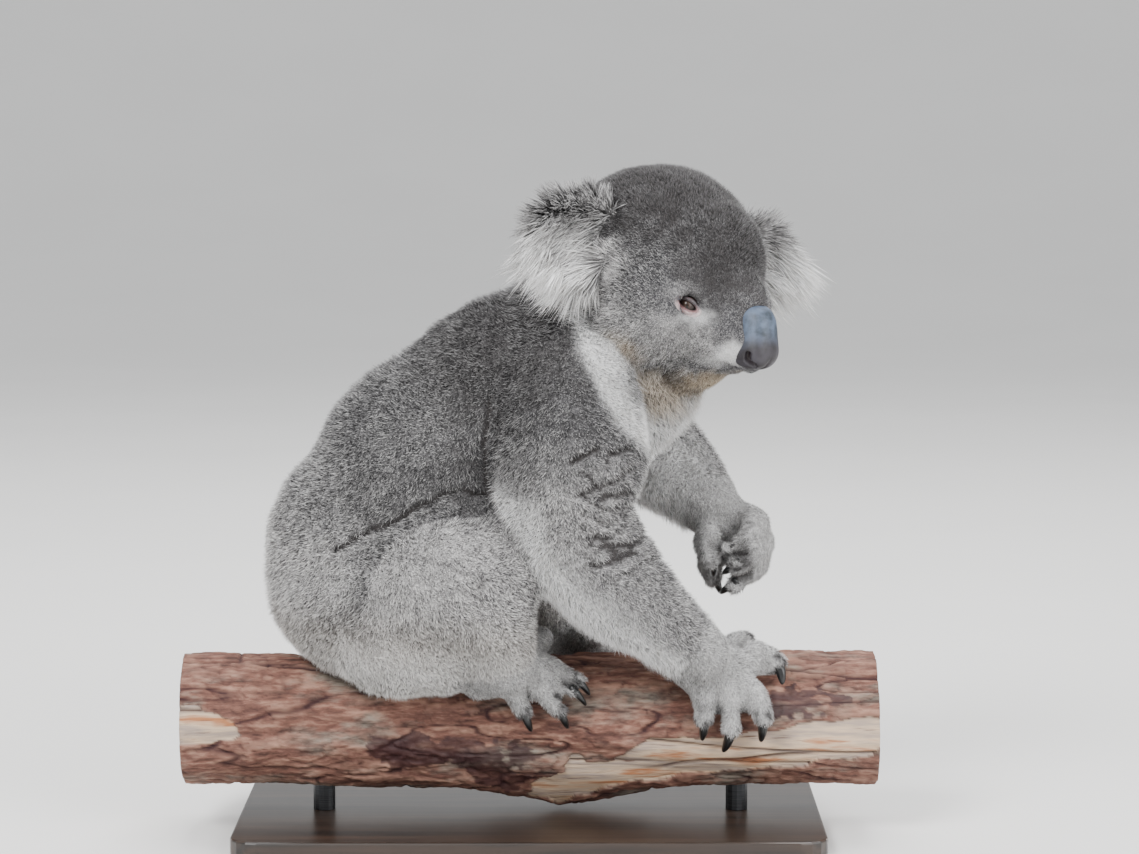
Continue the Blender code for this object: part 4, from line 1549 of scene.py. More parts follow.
# ---------------------------------------------------------------- the lie of the coat
@dataclass
class Growth:
    """For each point of the skin: its region, its hair's length, rise, width, crowding and lie."""

    skin: Skin
    head: Axes
    ears: dict[str, Ear]
    owner: Array = field(init=False)
    region: Array = field(init=False)
    length: Array = field(init=False)
    rise: Array = field(init=False)
    width: Array = field(init=False)
    crowd: Array = field(init=False)
    lie: Array = field(init=False)
    marks: dict[str, Array] = field(init=False)

    def build(self) -> None:
        """Works everything out, and smooths it from region to region."""
        points, normals = self.skin.points, self.skin.normals
        net = Net(len(points), arrays_of(self.skin.mesh)[2])
        self.owner = self.skin.owners(points)
        self.region = np.array([ORDER.index(r) for r in REGION_OF])[self.owner]
        pelts = [PELTS[r] for r in ORDER]
        table = np.array([(p.length, p.rise, p.width, p.crowd) for p in pelts])[self.region]
        soft = net.spread(table, 10)
        inside = self.head.inside(points)
        short = self.skin.shortness(inside)
        self.length, self.rise = soft[:, 0] * short, soft[:, 1]
        self.width, self.crowd = soft[:, 2] * (0.55 + 0.45 * short), soft[:, 3] / (0.5 + 0.5 * short)
        raw = flat(self.raw_lie(points, normals), normals)
        self.lie = flat(net.spread(raw, 10), normals)
        self.marks = Markings(self.head).at(points, normals, self.region)
        arms = on(self.region, Region.UPPER_ARM, Region.FOREARM)
        fringe = self.marks["white"] * arms * ramp(normals @ UNDERSIDE, 0.3, 0.8)
        self.length = self.length * (1.0 + 0.7 * fringe)
        self.mark_ears()
        self.mark_details(inside)
        blurred = net.spread(np.stack([self.marks[name] for name in HAIR_MARKS], axis=1), 3)
        self.marks.update(zip(HAIR_MARKS, blurred.T))
        self.mark_lines(inside)

    def mark_details(self, inside: Array) -> None:
        """Bare skin about the eyes and under the nose pad, where no hair is rooted.

        Args:
            inside: the skin's points in the head's frame.
        """
        bare = np.zeros(len(inside))
        for side in SIDES:
            local = eye_axes(self.head, side).inside(self.skin.points)
            bare = np.maximum(bare, lid_cover(local, 0.02))
        self.crowd = self.crowd * (1.0 - bare)
        self.crowd = self.crowd * ramp(self.skin.nose.bulk(inside), 1.02, 1.08)
        self.marks["bare"] = bare

    def mark_lines(self, inside: Array) -> None:
        """Dark lines of shade: the closed mouth, the gaps between digits, and the creases.

        Hair is shorter and stands up there, and the digits' ends have dark streaks.

        Args:
            inside: the skin's points in the head's frame.
        """
        gap, along = self.skin.between()
        mouth = bell(mouth_distance(inside), 0.0016)
        line = np.maximum(mouth, gap * ramp(along, 0.05, 0.4))
        crease = creases(self.skin.points)
        ends = on(self.region, Region.HAND, Region.FOOT)
        streak = ends * np.where(self.skin.points[:, 1] > 0.0, 0.35, 0.85) * ramp(along, 0.25, 0.95)
        streak = streak * ramp(cloud(self.skin.points, 0.004, 53), -0.25, 0.45)
        for name in ("silver", "white"):
            self.marks[name] = self.marks[name] * (1.0 - streak)
        shade = np.maximum.reduce([line, ramp(crease, 0.25, 0.8), streak])
        self.marks["dark"] = np.clip(np.maximum(self.marks["dark"], shade), 0.0, 1.0)
        self.length = self.length * (1.0 - 0.5 * line) * (1.0 - 0.62 * crease)
        self.rise = blend(self.rise, 0.95, crease)
        self.crowd = self.crowd * (1.0 - 0.8 * ramp(crease, 0.7, 0.95))

    def raw_lie(self, points: Array, normals: Array) -> Array:
        """Which way hair lies in each node, before it is smoothed.

        It runs away from the nose on the head, down and back on the trunk, along each limb to the
        next part, and towards the claws on the hands and the feet.

        Args:
            points: the skin's points.
            normals: its directions there.

        Returns:
            One direction a point.
        """
        lie = np.zeros_like(points)
        nose = middle("nose")
        for index, (name, region) in enumerate(zip(FLESH, REGION_OF)):
            mine = self.owner == index
            here, facing = points[mine], normals[mine]
            side = name.rsplit("_", 1)[-1]
            if region in (Region.HEAD, Region.JAW):
                way = unit(here - nose) + [0.0, 0.0, -0.25]
            elif region is Region.NECK:
                top = ramp(facing[:, 2], -0.1, 0.6)[:, None]
                way = blend(np.array([0.4, 0.0, -0.9]), np.array([-0.8, 0.0, -0.55]), top)
            elif region is Region.TRUNK:
                top = ramp(facing[:, 2], -0.2, 0.7)[:, None]
                way = blend(np.array([-0.25, 0.0, -1.0]), np.array([-1.0, 0.0, -0.65]), top)
            elif region is Region.EAR:
                way = self.ears[side].lie(here, facing)
            elif region in (Region.HAND, Region.FOOT):
                claws = [middle(n) for n in sorted(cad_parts) if n.startswith(name + "_claw")]
                gaps = [claw - here for claw in claws]
                weights = [1.0 / (np.linalg.norm(gap, axis=1) ** 4)[:, None] for gap in gaps]
                way = sum(gap * w for gap, w in zip(gaps, weights)) / sum(weights)
            else:
                after = {Region.UPPER_ARM: "forearm_", Region.FOREARM: "hand_", Region.THIGH: "shank_",
                         Region.SHANK: "foot_"}[region]
                way = here * 0.0 + unit(middle(after + side) - middle(name)) + [0.0, 0.0, -0.35]
            lie[mine] = unit(way)
        return lie

    def mark_ears(self) -> None:
        """Long white locks on each ear's face, dark fluff on its crown and behind, and painted shade in the
        hollow near its root.
        """
        for side, ear in self.ears.items():
            mine = self.owner == FLESH.index("ear_" + side)
            wide, tall, _ = ear.half
            local = ear.axes.inside(self.skin.points[mine])
            out, up, _ = local.T
            facing = self.skin.normals[mine] @ ear.axes.rows[2]
            high = ramp(up, 0.1 * tall, 0.5 * tall)
            inner = np.maximum(ramp(facing, -0.2, 0.3), ramp(-up, 0.25 * tall, 0.6 * tall)) * (1.0 - high)
            # Painted shade in the ear's hollow, on the side that faces forward.
            hollow = bell(np.hypot(out + 0.3 * wide, up * 2.0), 0.008)
            lock = locks(self.skin.points[mine])[1]
            self.marks["white"][mine] = inner * blend(0.35, 0.95, lock)
            self.marks["dark"][mine] = np.maximum((1.0 - inner) * blend(0.1, 0.55, lock),
                                                  hollow * ramp(facing, 0.0, 0.5))
            self.marks["tan"][mine] = 0.0
            self.marks["silver"][mine] = blend(0.4, 0.85, inner)
            root = ramp(-out, -0.2 * wide, 0.6 * wide)
            self.length[mine] = blend(0.0175, blend(0.034, 0.044, root), inner) * blend(0.8, 1.2, lock)
            self.width[mine] = blend(0.0006, 0.0008, inner)
            self.rise[mine] = blend(0.7, 0.36, inner)
            foot = ear.axes.outside(np.array([-0.7 * wide, -0.45 * tall, 0.0]))
            near = np.linalg.norm(self.skin.points - foot, axis=1)
            near = fall(near, 0.012, 0.03) * ~mine
            self.length = blend(self.length, 0.013, near)
            self.marks["dark"] = self.marks["dark"] * (1.0 - near)
            self.marks["silver"] = np.maximum(self.marks["silver"], near)


# ---------------------------------------------------------------- the coat
@dataclass
class Coat:
    """Tufts rooted all over the skin, each a closed three-sided spike that may bend once."""

    growth: Growth
    corner_uv: Array
    budget: int = 1_400_000
    piece_limit: int = 190_000
    clump_size: float = 0.003
    patch: float = 0.003
    seed: int = 11
    bent_from: float = 0.0135
    straight_faces: int = 4
    bent_faces: int = 10

    def roots(self) -> dict[str, Array]:
        """Picks where tufts grow, by area and crowding, and takes all values there."""
        skin, growth = self.growth.skin, self.growth
        random = np.random.default_rng(self.seed)
        corners = skin.points[skin.triangles]
        area = np.linalg.norm(
            np.cross(corners[:, 1] - corners[:, 0], corners[:, 2] - corners[:, 0]), axis=1) / 2
        crowd = growth.crowd[skin.triangles].mean(axis=1)
        bent = growth.length[skin.triangles].mean(axis=1) > self.bent_from
        faces = np.where(bent, float(self.bent_faces), float(self.straight_faces))
        expected = area * SQUARE_MM * crowd
        share = self.budget / (expected * faces).sum()
        log.info("coat: %.0f tufts at full crowding, kept %.2f", expected.sum(), share)
        count = int(expected.sum() * share)
        chance = np.cumsum(expected) / expected.sum()
        triangle = np.searchsorted(chance, random.random(count))
        a, b = random.random((2, count))
        fold = a + b > 1.0
        a, b = np.where(fold, 1.0 - a, a), np.where(fold, 1.0 - b, b)
        weight = np.stack([1.0 - a - b, a, b], axis=1)
        index = skin.triangles[triangle]

        def here(values: Array) -> Array:
            """The values at the roots, weighed from each triangle's corners."""
            if values.ndim == 1:
                return (values[index] * weight).sum(axis=1)
            return (values[index] * weight[..., None]).sum(axis=1)

        found = {
            "place": here(skin.points), "normal": unit(here(skin.normals)), "lie": unit(here(growth.lie)),
            "length": here(growth.length), "rise": here(growth.rise), "width": here(growth.width),
            "uv": (self.corner_uv[triangle] * weight[..., None]).sum(axis=1),
            "owner": growth.owner[index[:, 0]], "bent": bent[triangle],
        }
        for name, values in growth.marks.items():
            found[name] = here(values)
        found["random"] = random.random((count, 6))
        return found

    def strands(self, root: dict[str, Array]) -> dict[str, Array]:
        """Gives each tuft its direction, length and tone.

        The lie is turned by broad and fine noise, the rise by noise 18 mm across. Tips are drawn
        towards the middles of small clumps and of broad lumps, which leaves dark partings between, and
        tufts on the partings are toned darker as painted shade.

        Args:
            root: what roots gives.

        Returns:
            Each tuft's tip, the way to it, its length and its tone from 0 to 1.
        """
        place, normal, chance = root["place"], root["normal"], root["random"]
        side = np.cross(normal, root["lie"])
        plush = fall(root["length"], 0.011, 0.016)
        swirl = 0.4 * cloud(place, 0.02, 3) + 0.65 * plush * cloud(place, 0.006, 4)
        swirl += (0.35 + 0.75 * plush) * (chance[:, 0] - 0.5) * 2.0
        lie = unit(root["lie"] + side * swirl[:, None])
        lift = root["rise"] * (1.0 + 0.35 * cloud(place, 0.018, 5) + 0.5 * (chance[:, 1] - 0.5))
        lift = np.clip(lift, 0.12, 0.95)
        lump_way = lumps(place)[0]
        lumpy = ramp(root["length"], 0.0055, 0.0075) * plush * (1.0 - root["white"])
        parting = partings(place) * lumpy
        length = root["length"] * (1.0 + 0.22 * cloud(place, 0.01, 6)) * blend(0.75, 1.15, chance[:, 2])
        length = length * (1.0 - 0.5 * parting)
        way = unit(lie * np.sqrt(1.0 - lift**2)[:, None] + normal * lift[:, None])
        gap, tone, _ = clumps(place, self.clump_size, 21)
        gap = gap - normal * dot(gap, normal)[:, None]
        pull = 0.5 * np.clip(root["length"] / 0.009, 0.2, 1.0)[:, None]
        lump_way = lump_way - normal * dot(lump_way, normal)[:, None]
        pull = pull + 0.35 * root["bent"][:, None]
        gap = np.where(root["bent"][:, None], locks(place)[0], gap)
        tip = place + way * length[:, None] + gap * pull + lump_way * (0.14 * lumpy)[:, None]
        strand = 0.5 + 0.4 * (chance[:, 3] * 2.0 - 1.0) + 0.34 * (tone - 0.5)
        # Painted shade: tufts on the partings are toned darker, for the shade between lumps of wool.
        strand = strand + 0.1 * cloud(place, 0.03, 8) - 0.55 * parting
        return {"tip": tip, "way": unit(tip - place), "strand": np.clip(strand, 0.0, 1.0),
                "length": length}

    def spikes(self, root: dict[str, Array], strand: dict[str, Array], bent: bool) -> dict[str, Array]:
        """The tufts' points and faces.

        A root ring of three points (left, right, top), for a bent tuft a second ring past half its
        length that stands higher, and a tip.

        Args:
            root: what roots gives, for these tufts.
            strand: what strands gives, for the same ones.
            bent: whether all of them bend.

        Returns:
            Points, faces, a UV pair and a share along the tuft for each point, and under "each" how
            many points a tuft has.
        """
        place, normal, way = root["place"], root["normal"], strand["way"]
        side = unit(np.cross(normal, way) + 1e-9)
        top = np.cross(way, side)
        wide = root["width"][:, None] / 2.0
        base = place - normal * 0.0004
        ring = [base + side * wide, base - side * wide, base + top * wide * 0.9]
        along = [0.0, 0.0, 0.0]
        faces = [(0, 2, 3), (2, 1, 3), (1, 0, 3), (0, 1, 2)]
        if bent:
            reach = strand["length"][:, None]
            droop = reach * (0.05 + 0.07 * np.clip(root["white"], 0.0, 1.0)[:, None])
            mid = (base * 0.45 + strand["tip"] * 0.55) + normal * reach * 0.07
            end = strand["tip"] - [0.0, 0.0, 1.0] * droop
            rows = ring + [mid + side * wide * 0.8, mid - side * wide * 0.8, mid + top * wide * 0.7, end]
            along += [0.55, 0.55, 0.55, 1.0]
            faces = [(0, 1, 2), (3, 5, 6), (5, 4, 6), (4, 3, 6)]
            for a, b in ((0, 2), (2, 1), (1, 0)):
                faces += [(a, b, b + 3), (a, b + 3, a + 3)]
        else:
            rows = ring + [strand["tip"]]
            along += [1.0]
        points = np.stack(rows, axis=1)
        count, each = points.shape[:2]
        index = np.array(faces)[None] + np.arange(count)[:, None, None] * each
        across = np.array([0.0, 1.0, 0.5] * (2 if bent else 1) + [0.5])
        local = np.stack([across - 0.5, np.array(along) - 0.5], axis=1) * self.patch
        uv = root["uv"][:, None, :] + local[None]
        return {
            "points": points.reshape(-1, 3), "faces": index.reshape(-1, 3),
            "uv": uv.reshape(-1, 2), "along": np.tile(along, count), "each": each,
        }

    def build(self, finish: Material) -> None:
        """Makes the coat's pieces, each of one side of one part of the body.

        Args:
            finish: the wool's material.
        """
        root = self.roots()
        strand = self.strands(root)
        names = np.array(FLESH)[root["owner"]]
        sided = np.where(root["place"][:, 1] < 0.0, "right", "left")
        parts = {"head": ("head", "jaw"), "ears": ("ear",), "neck": ("neck",), "trunk": ("trunk",),
                 "arms": ("upper_arm", "forearm", "hand"), "legs": ("thigh", "shank", "foot")}
        for part, starts in parts.items():
            mine = np.array([str(n).startswith(starts) for n in FLESH])[root["owner"]]
            for side in SIDES:
                if part in ("arms", "legs", "ears"):
                    chosen = mine & np.char.endswith(names, side)
                else:
                    chosen = mine & (sided == side)
                self.piece(f"coat_{part}_{side}", root, strand, chosen, finish)

    def piece(self, name: str, root: dict, strand: dict, chosen: Array, finish: Material) -> None:
        """Makes one piece of the coat, or two where it would have too many faces.

        Args:
            name: the piece's name.
            root: what roots gives.
            strand: what strands gives.
            chosen: which tufts belong to it.
            finish: the wool's material.
        """
        costs = np.where(root["bent"][chosen], self.bent_faces, self.straight_faces).sum()
        if costs > self.piece_limit:
            half = np.median(root["place"][chosen, 2])
            high = chosen & (root["place"][:, 2] > half)
            self.piece(name + "_upper", root, strand, high, finish)
            self.piece(name + "_lower", root, strand, chosen & ~high, finish)
            return
        sheets, uvs, numbers = [], [], {key: [] for key in (*HAIR_MARKS, "strand", "along")}
        for bent in (False, True):
            take = chosen & (root["bent"] == bent)
            if not take.any():
                continue
            some_root = {key: values[take] for key, values in root.items()}
            some_strand = {key: values[take] for key, values in strand.items()}
            made = self.spikes(some_root, some_strand, bent)
            sheets.append(Sheet(made["points"], made["faces"]))
            uvs.append(made["uv"][made["faces"].ravel()])
            numbers["along"].append(made["along"])
            for key in HAIR_MARKS:
                numbers[key].append(np.repeat(some_root[key], made["each"]))
            numbers["strand"].append(np.repeat(some_strand["strand"], made["each"]))
        mesh = mesh_from(name, Sheet.joined(sheets))
        put_uv(mesh, "OFBake", np.concatenate(uvs))
        for key, values in numbers.items():
            put_numbers(mesh, key, np.concatenate(values))
        piece(name, mesh, finish)


# ---------------------------------------------------------------- nose, eyes, claws
@dataclass
class Nose:
    """The broad nose pad, an upright rounded shield, with a curved nostril low on each side."""

    head: Axes
    centre: tuple = (0.0845, 0.0, -0.044)
    deep: float = 0.0198
    half_wide: float = 0.0136
    half_tall: float = 0.0233
    square: float = 2.5
    lean: float = 0.1
    rows: int = 110
    columns: int = 140
    nostril: tuple = ((0.095, 0.0138, -0.0565), (0.0935, 0.0132, -0.0615), (0.0965, 0.0085, -0.064))
    nostril_deep: float = 0.0045
    cleft_deep: float = 0.001
    wing_high: float = 0.0007

    def scaled(self, inside: Array) -> Array:
        """Measures places by the pad's half sizes, of which the width grows downwards.

        Args:
            inside: places in the head's frame.

        Returns:
            The same places from the pad's middle, as shares of the half sizes.
        """
        gap = inside - np.array(self.centre)
        height = gap[..., 2] / self.half_tall
        forward = gap[..., 0] + self.lean * gap[..., 2]
        wide = self.half_wide * (1.0 + 0.13 * ramp(-height, -0.5, 0.6))
        return np.stack([forward / self.deep, gap[..., 1] / wide, height], axis=-1)

    def bulk(self, inside: Array) -> Array:
        """0 at the pad's middle, 1 on its surface, by |x|^n + |y|^n + |z|^(n + 1), and that ^(1 / n)."""
        powers = np.array([self.square, self.square, self.square + 1.0])
        return (np.abs(self.scaled(inside)) ** powers).sum(axis=-1) ** (1.0 / self.square)

    def build(self, finish: Material) -> None:
        """Makes the pad by moving the points of a sphere along their rays until the bulk is 1.

        The nostrils, along a bent line, and the cleft between them are pressed in, and a low bulge
        stands round each nostril.

        Args:
            finish: the nose leather.
        """
        centre = np.array(self.centre)
        down = np.linspace(0.0, math.pi, self.rows)[:, None]
        ray = ball(down, turns(self.columns))
        reach = np.full(ray.shape[:2], 0.015)
        for _ in range(8):
            reach = reach / self.bulk(centre + ray * reach[..., None])
        place = centre + ray * reach[..., None]
        inward = unit(centre - place)
        hollow = np.zeros(reach.shape)
        for sign in SIDES.values():
            marks = [np.array([x, y * sign, z]) for x, y, z in self.nostril]
            flat_place = place.reshape(-1, 3)
            reaches = [segment_distance(flat_place, a, b)[0] for a, b in zip(marks, marks[1:])]
            gap = np.minimum.reduce(reaches).reshape(reach.shape)
            hollow = np.maximum(hollow, fall(gap, 0.0007, 0.003))
        cleft = bell(place[..., 1], 0.0011) * ramp(-place[..., 2], 0.056, 0.064)
        wing = bell(np.abs(place[..., 1]) - 0.0125, 0.004) * bell(place[..., 2] + 0.055, 0.006)
        shift = self.nostril_deep * hollow + self.cleft_deep * cleft - self.wing_high * wing
        mesh = lathe("nose_pad", self.head.outside(place + inward * shift[..., None]))
        # Where the nose leather gets painted shade: the nostrils and the cleft, and its lower part.
        put_numbers(mesh, "hollow", np.maximum(hollow, 0.6 * cleft))
        put_numbers(mesh, "low", ramp(-place[..., 2] + 0.25 * (place[..., 0] - 0.09), 0.04, 0.056))
        seal(mesh)
        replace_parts(piece("nose_pad", mesh, finish), "nose")


def lid_edge(turn: Array) -> Array:
    """The lids' edge round the eye: an almond, whose half height goes as the sine^1.15 of the turn.

    Args:
        turn: angles, 0 at the inner corner and pi at the outer one.

    Returns:
        Places in the eye's frame, along and up.
    """
    wave = np.sin(turn)
    along = 0.0062 * np.cos(turn) + 0.0004
    open_up = np.where(wave > 0, 0.0024, 0.0022) * np.sign(wave) * np.abs(wave) ** 1.15
    return np.stack([along, open_up - 0.0005 * np.cos(turn) * np.abs(wave)], axis=-1)


def lid_far(turn: Array) -> Array:
    """The lids' outer border: half ellipses, farther out below and towards the nose.

    Args:
        turn: angles, as for the edge.

    Returns:
        Places in the eye's frame, along and up.
    """
    wave = np.sin(turn)
    low = ramp(-wave, -0.2, 0.8)
    inner = ramp(np.cos(turn), 0.0, 1.0)
    across = blend(0.0056, 0.0072, low)
    return np.stack([np.cos(turn) * blend(0.0096, 0.012, inner), wave * across - 0.0014 * inner], axis=-1)


def lid_reach(local: Array) -> Array:
    """How far out of an eye's middle points lie.

    Args:
        local: places in the eye's frame.

    Returns:
        Shares of the way to the lids' outer border in each point's direction.
    """
    border = lid_far(np.linspace(-math.pi, math.pi, 240, endpoint=False))
    bearing = np.arctan2(border[:, 1], border[:, 0])
    here = np.arctan2(local[:, 1], local[:, 0])
    size = np.interp(here, bearing, np.linalg.norm(border, axis=1), period=2.0 * math.pi)
    return np.linalg.norm(local[:, :2], axis=1) / size


def lid_cover(local: Array, depth: float) -> Array:
    """1 under the lids and 0 beyond them, for points within that depth of the eye's middle."""
    return fall(lid_reach(local), 0.58, 0.8) * (np.abs(local[:, 2]) < depth)


@dataclass
class Eye:
    """An eyeball with its cornea, and the lids about its almond-shaped opening."""

    side: str
    head: Axes
    tree: BVHTree
    radius: float = 0.0078
    cornea: float = 0.0005
    lid_thick: float = 0.0008
    soft: float = 0.0005
    rows: int = 40
    columns: int = 48
    rings: int = 20
    around: int = 96

    def build(self, wet: Material, lids: Material) -> None:
        """Makes both pieces.

        Args:
            wet: the eyeball's material.
            lids: the lids' material.
        """
        axes = eye_axes(self.head, self.side)
        self.ball(axes, wet)
        self.lids(axes, lids)

    def ball(self, axes: Axes, finish: Material) -> None:
        """A sphere whose front bulges by a cosine bell, the cornea.

        Args:
            axes: the eye's frame.
            finish: its material.
        """
        down = np.linspace(0.0, math.pi, self.rows)[:, None]
        bulge = self.cornea * (1.0 + np.cos(np.clip(down / 0.75, 0.0, 1.0) * math.pi)) / 2.0
        size = self.radius + bulge
        local = size[..., None] * ball(down, turns(self.columns))
        mesh = lathe("eyeball", axes.outside(local))
        put_numbers(mesh, "outward", np.broadcast_to(down / 1.5, (self.rows, self.columns)))
        upright = axes.rows @ np.array([0.0, 0.0, 1.0])
        level = axes.rows @ np.cross([0.0, 0.0, 1.0], axes.rows[2])
        slit = np.hypot((local @ level) / 0.0007, (local @ upright) / 0.002)
        put_numbers(mesh, "slit", fall(slit, 0.7, 1.2) * (local[..., 2] > 0))
        seal(mesh)
        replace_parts(piece("eyeball_" + self.side, mesh, finish), "eye_" + self.side)

    def lids(self, axes: Axes, finish: Material) -> None:
        """Rings from behind the lids' edge, over their rounded rim, out to the skin of the face.

        Their height is the soft maximum of the eyeball with the lids' thickness over it and of the
        skin, with one fold raised along the edge and a furrow behind it.

        Args:
            axes: the eye's frame.
            finish: their material.
        """
        around, rings = self.around, self.rings
        turn = turns(around)
        edge, far = lid_edge(turn), lid_far(turn)
        t = np.broadcast_to(np.linspace(0.0, 1.0, rings)[:, None], (rings, around))
        across = blend(edge[None], far[None], t[..., None])
        square = np.minimum((across**2).sum(axis=-1), self.radius**2)
        cover = np.sqrt((self.radius + self.lid_thick) ** 2 - square)
        edge_z = cover[0]
        height = self.skin_height(axes, across.reshape(-1, 2)).reshape(rings, around)
        skin_z = height[-1]
        log.info("lids: the skin lies %.1f mm over the eye's middle", 1000.0 * height.mean())
        z = self.soft * np.logaddexp(cover / self.soft, (height + 0.0002) / self.soft)
        z = z - 0.0012 * ramp(t, 0.85, 1.0)
        upper = ramp(np.sin(turn), -0.2, 0.5)[None]
        fold = blend(0.0004, 0.0007, upper)
        z = z + fold * bell(t - 0.14, 0.09) - 0.0005 * bell(t - 0.36, 0.09)
        front = np.concatenate([across, z[..., None]], axis=-1)
        tuck = np.concatenate([edge * 0.96, edge_z[:, None] - 0.0018], axis=-1)[None]
        rim = np.concatenate([edge, edge_z[:, None] - 0.0005], axis=-1)[None]
        behind = np.concatenate([far, skin_z[:, None] - 0.003], axis=-1)[None]
        rows = np.concatenate([tuck, rim, front, behind, tuck * [1.2, 1.2, 0.6]])
        closed = np.concatenate([rows, rows[:1]])
        mesh = lathe("lids", axes.outside(closed))
        pad = np.zeros((1, around))
        put_numbers(mesh, "outward", np.concatenate([pad, pad, t, pad + 1.0, pad, pad]))
        pink = np.broadcast_to(fall(np.sin(turn) - 0.5 * np.cos(turn), -0.5, 0.6), (rings, around))
        put_numbers(mesh, "pink", np.concatenate([pad, pad, pink, pad, pad, pad]))
        seal(mesh)
        piece("eyelids_" + self.side, mesh, finish)

    def skin_height(self, axes: Axes, across: Array) -> Array:
        """The skin's height over the eye's middle, by rays that run in along the eye's axis.

        Args:
            axes: the eye's frame.
            across: places in it, along and up.

        Returns:
            One height a place, 0 where a ray finds no skin.
        """
        starts = axes.outside(np.concatenate([across, np.full((len(across), 1), 0.03)], axis=1))
        inward = Vector(-axes.rows[2])
        found = [self.tree.ray_cast(Vector(start), inward)[0] for start in starts]
        heights = [axes.inside(np.array(hit))[2] if hit else 0.0 for hit in found]
        return np.array(heights)


@dataclass
class Claw:
    """A stout curved claw, deeper than it is wide, that ends bluntly."""

    node: str
    holder: Array
    rings: int = 20
    around: int = 16
    flatness: float = 0.78

    def line(self) -> tuple[Array, float]:
        """The claw's root, middle and point, and its half thickness, read off its solid."""
        points = solid_points(self.node)
        centre, ways = principal(points)
        along = ways[:, 2] * np.sign(ways[:, 2] @ (centre - self.holder))
        run = (points - centre) @ along
        low, high = run.min(), run.max()
        span = high - low
        root = points[run < low + 0.12 * span].mean(axis=0)
        mid = points[np.abs(run - (low + high) / 2) < 0.2 * span].mean(axis=0)
        tip = points[run > high - 0.1 * span].mean(axis=0)
        near = points[run < low + 0.35 * span]
        off = near - near.mean(axis=0)
        off = off - np.outer(off @ along, along)
        return np.stack([root, mid, tip]), float(np.linalg.norm(off, axis=1).max())

    def build(self, finish: Material) -> None:
        """Carries an oval that shrinks as the root of what is left of the length along the curve.

        Args:
            finish: the horn.
        """
        (root, mid, tip), thick = self.line()
        bend = 2.0 * mid - 0.5 * (root + tip)
        t = np.linspace(0.0, 1.0, self.rings)[:, None]
        spine = bowed(root, bend, tip, t)
        ahead = unit(2 * (1 - t) * (bend - root) + 2 * t * (tip - bend))
        arch = np.cross(bend - root, tip - bend)
        side = unit(np.where(np.linalg.norm(arch) > 1e-9, arch, np.array([0.0, 1.0, 0.0])))
        size = thick * (1.0 - 0.34 * t) * (1.0 - t**5) ** 0.5
        rings = tube(spine, ahead, side, size, turns(self.around), self.flatness)
        rings = np.concatenate([np.broadcast_to(root, (1, self.around, 3)), rings])
        mesh = lathe(self.node, rings)
        grid = np.stack(np.broadcast_arrays(
            np.linspace(0.0, 1.0, len(rings))[:, None], np.linspace(0.0, 1.0, self.around)[None]), axis=-1)
        faces = grid_faces(len(rings), self.around)
        put_uv(mesh, "claw", grid.reshape(-1, 2)[faces.ravel()])
        seal(mesh)
        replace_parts(piece("horn_" + self.node, mesh, finish), self.node)


# ---------------------------------------------------------------- the branch and the stand
@dataclass(frozen=True)
class Bare:
    """A slanting patch of the branch: an ellipse over (place along in metres, turn from the top)."""

    x: float
    turn: float
    half_x: float
    half_turn: float
    slope: float = 0.0

    def cover(self, x: Array, turn: Array, edge: Array) -> Array:
        """Marks the patch out.

        Args:
            x: places along the branch.
            turn: turns from its top.
            edge: noise that moves the border about.

        Returns:
            1 inside the patch and 0 outside.
        """
        gap = turn - self.turn - self.slope * (x - self.x)
        reach = np.hypot((x - self.x) / self.half_x, gap / self.half_turn)
        return fall(reach + edge, 0.97, 1.03)


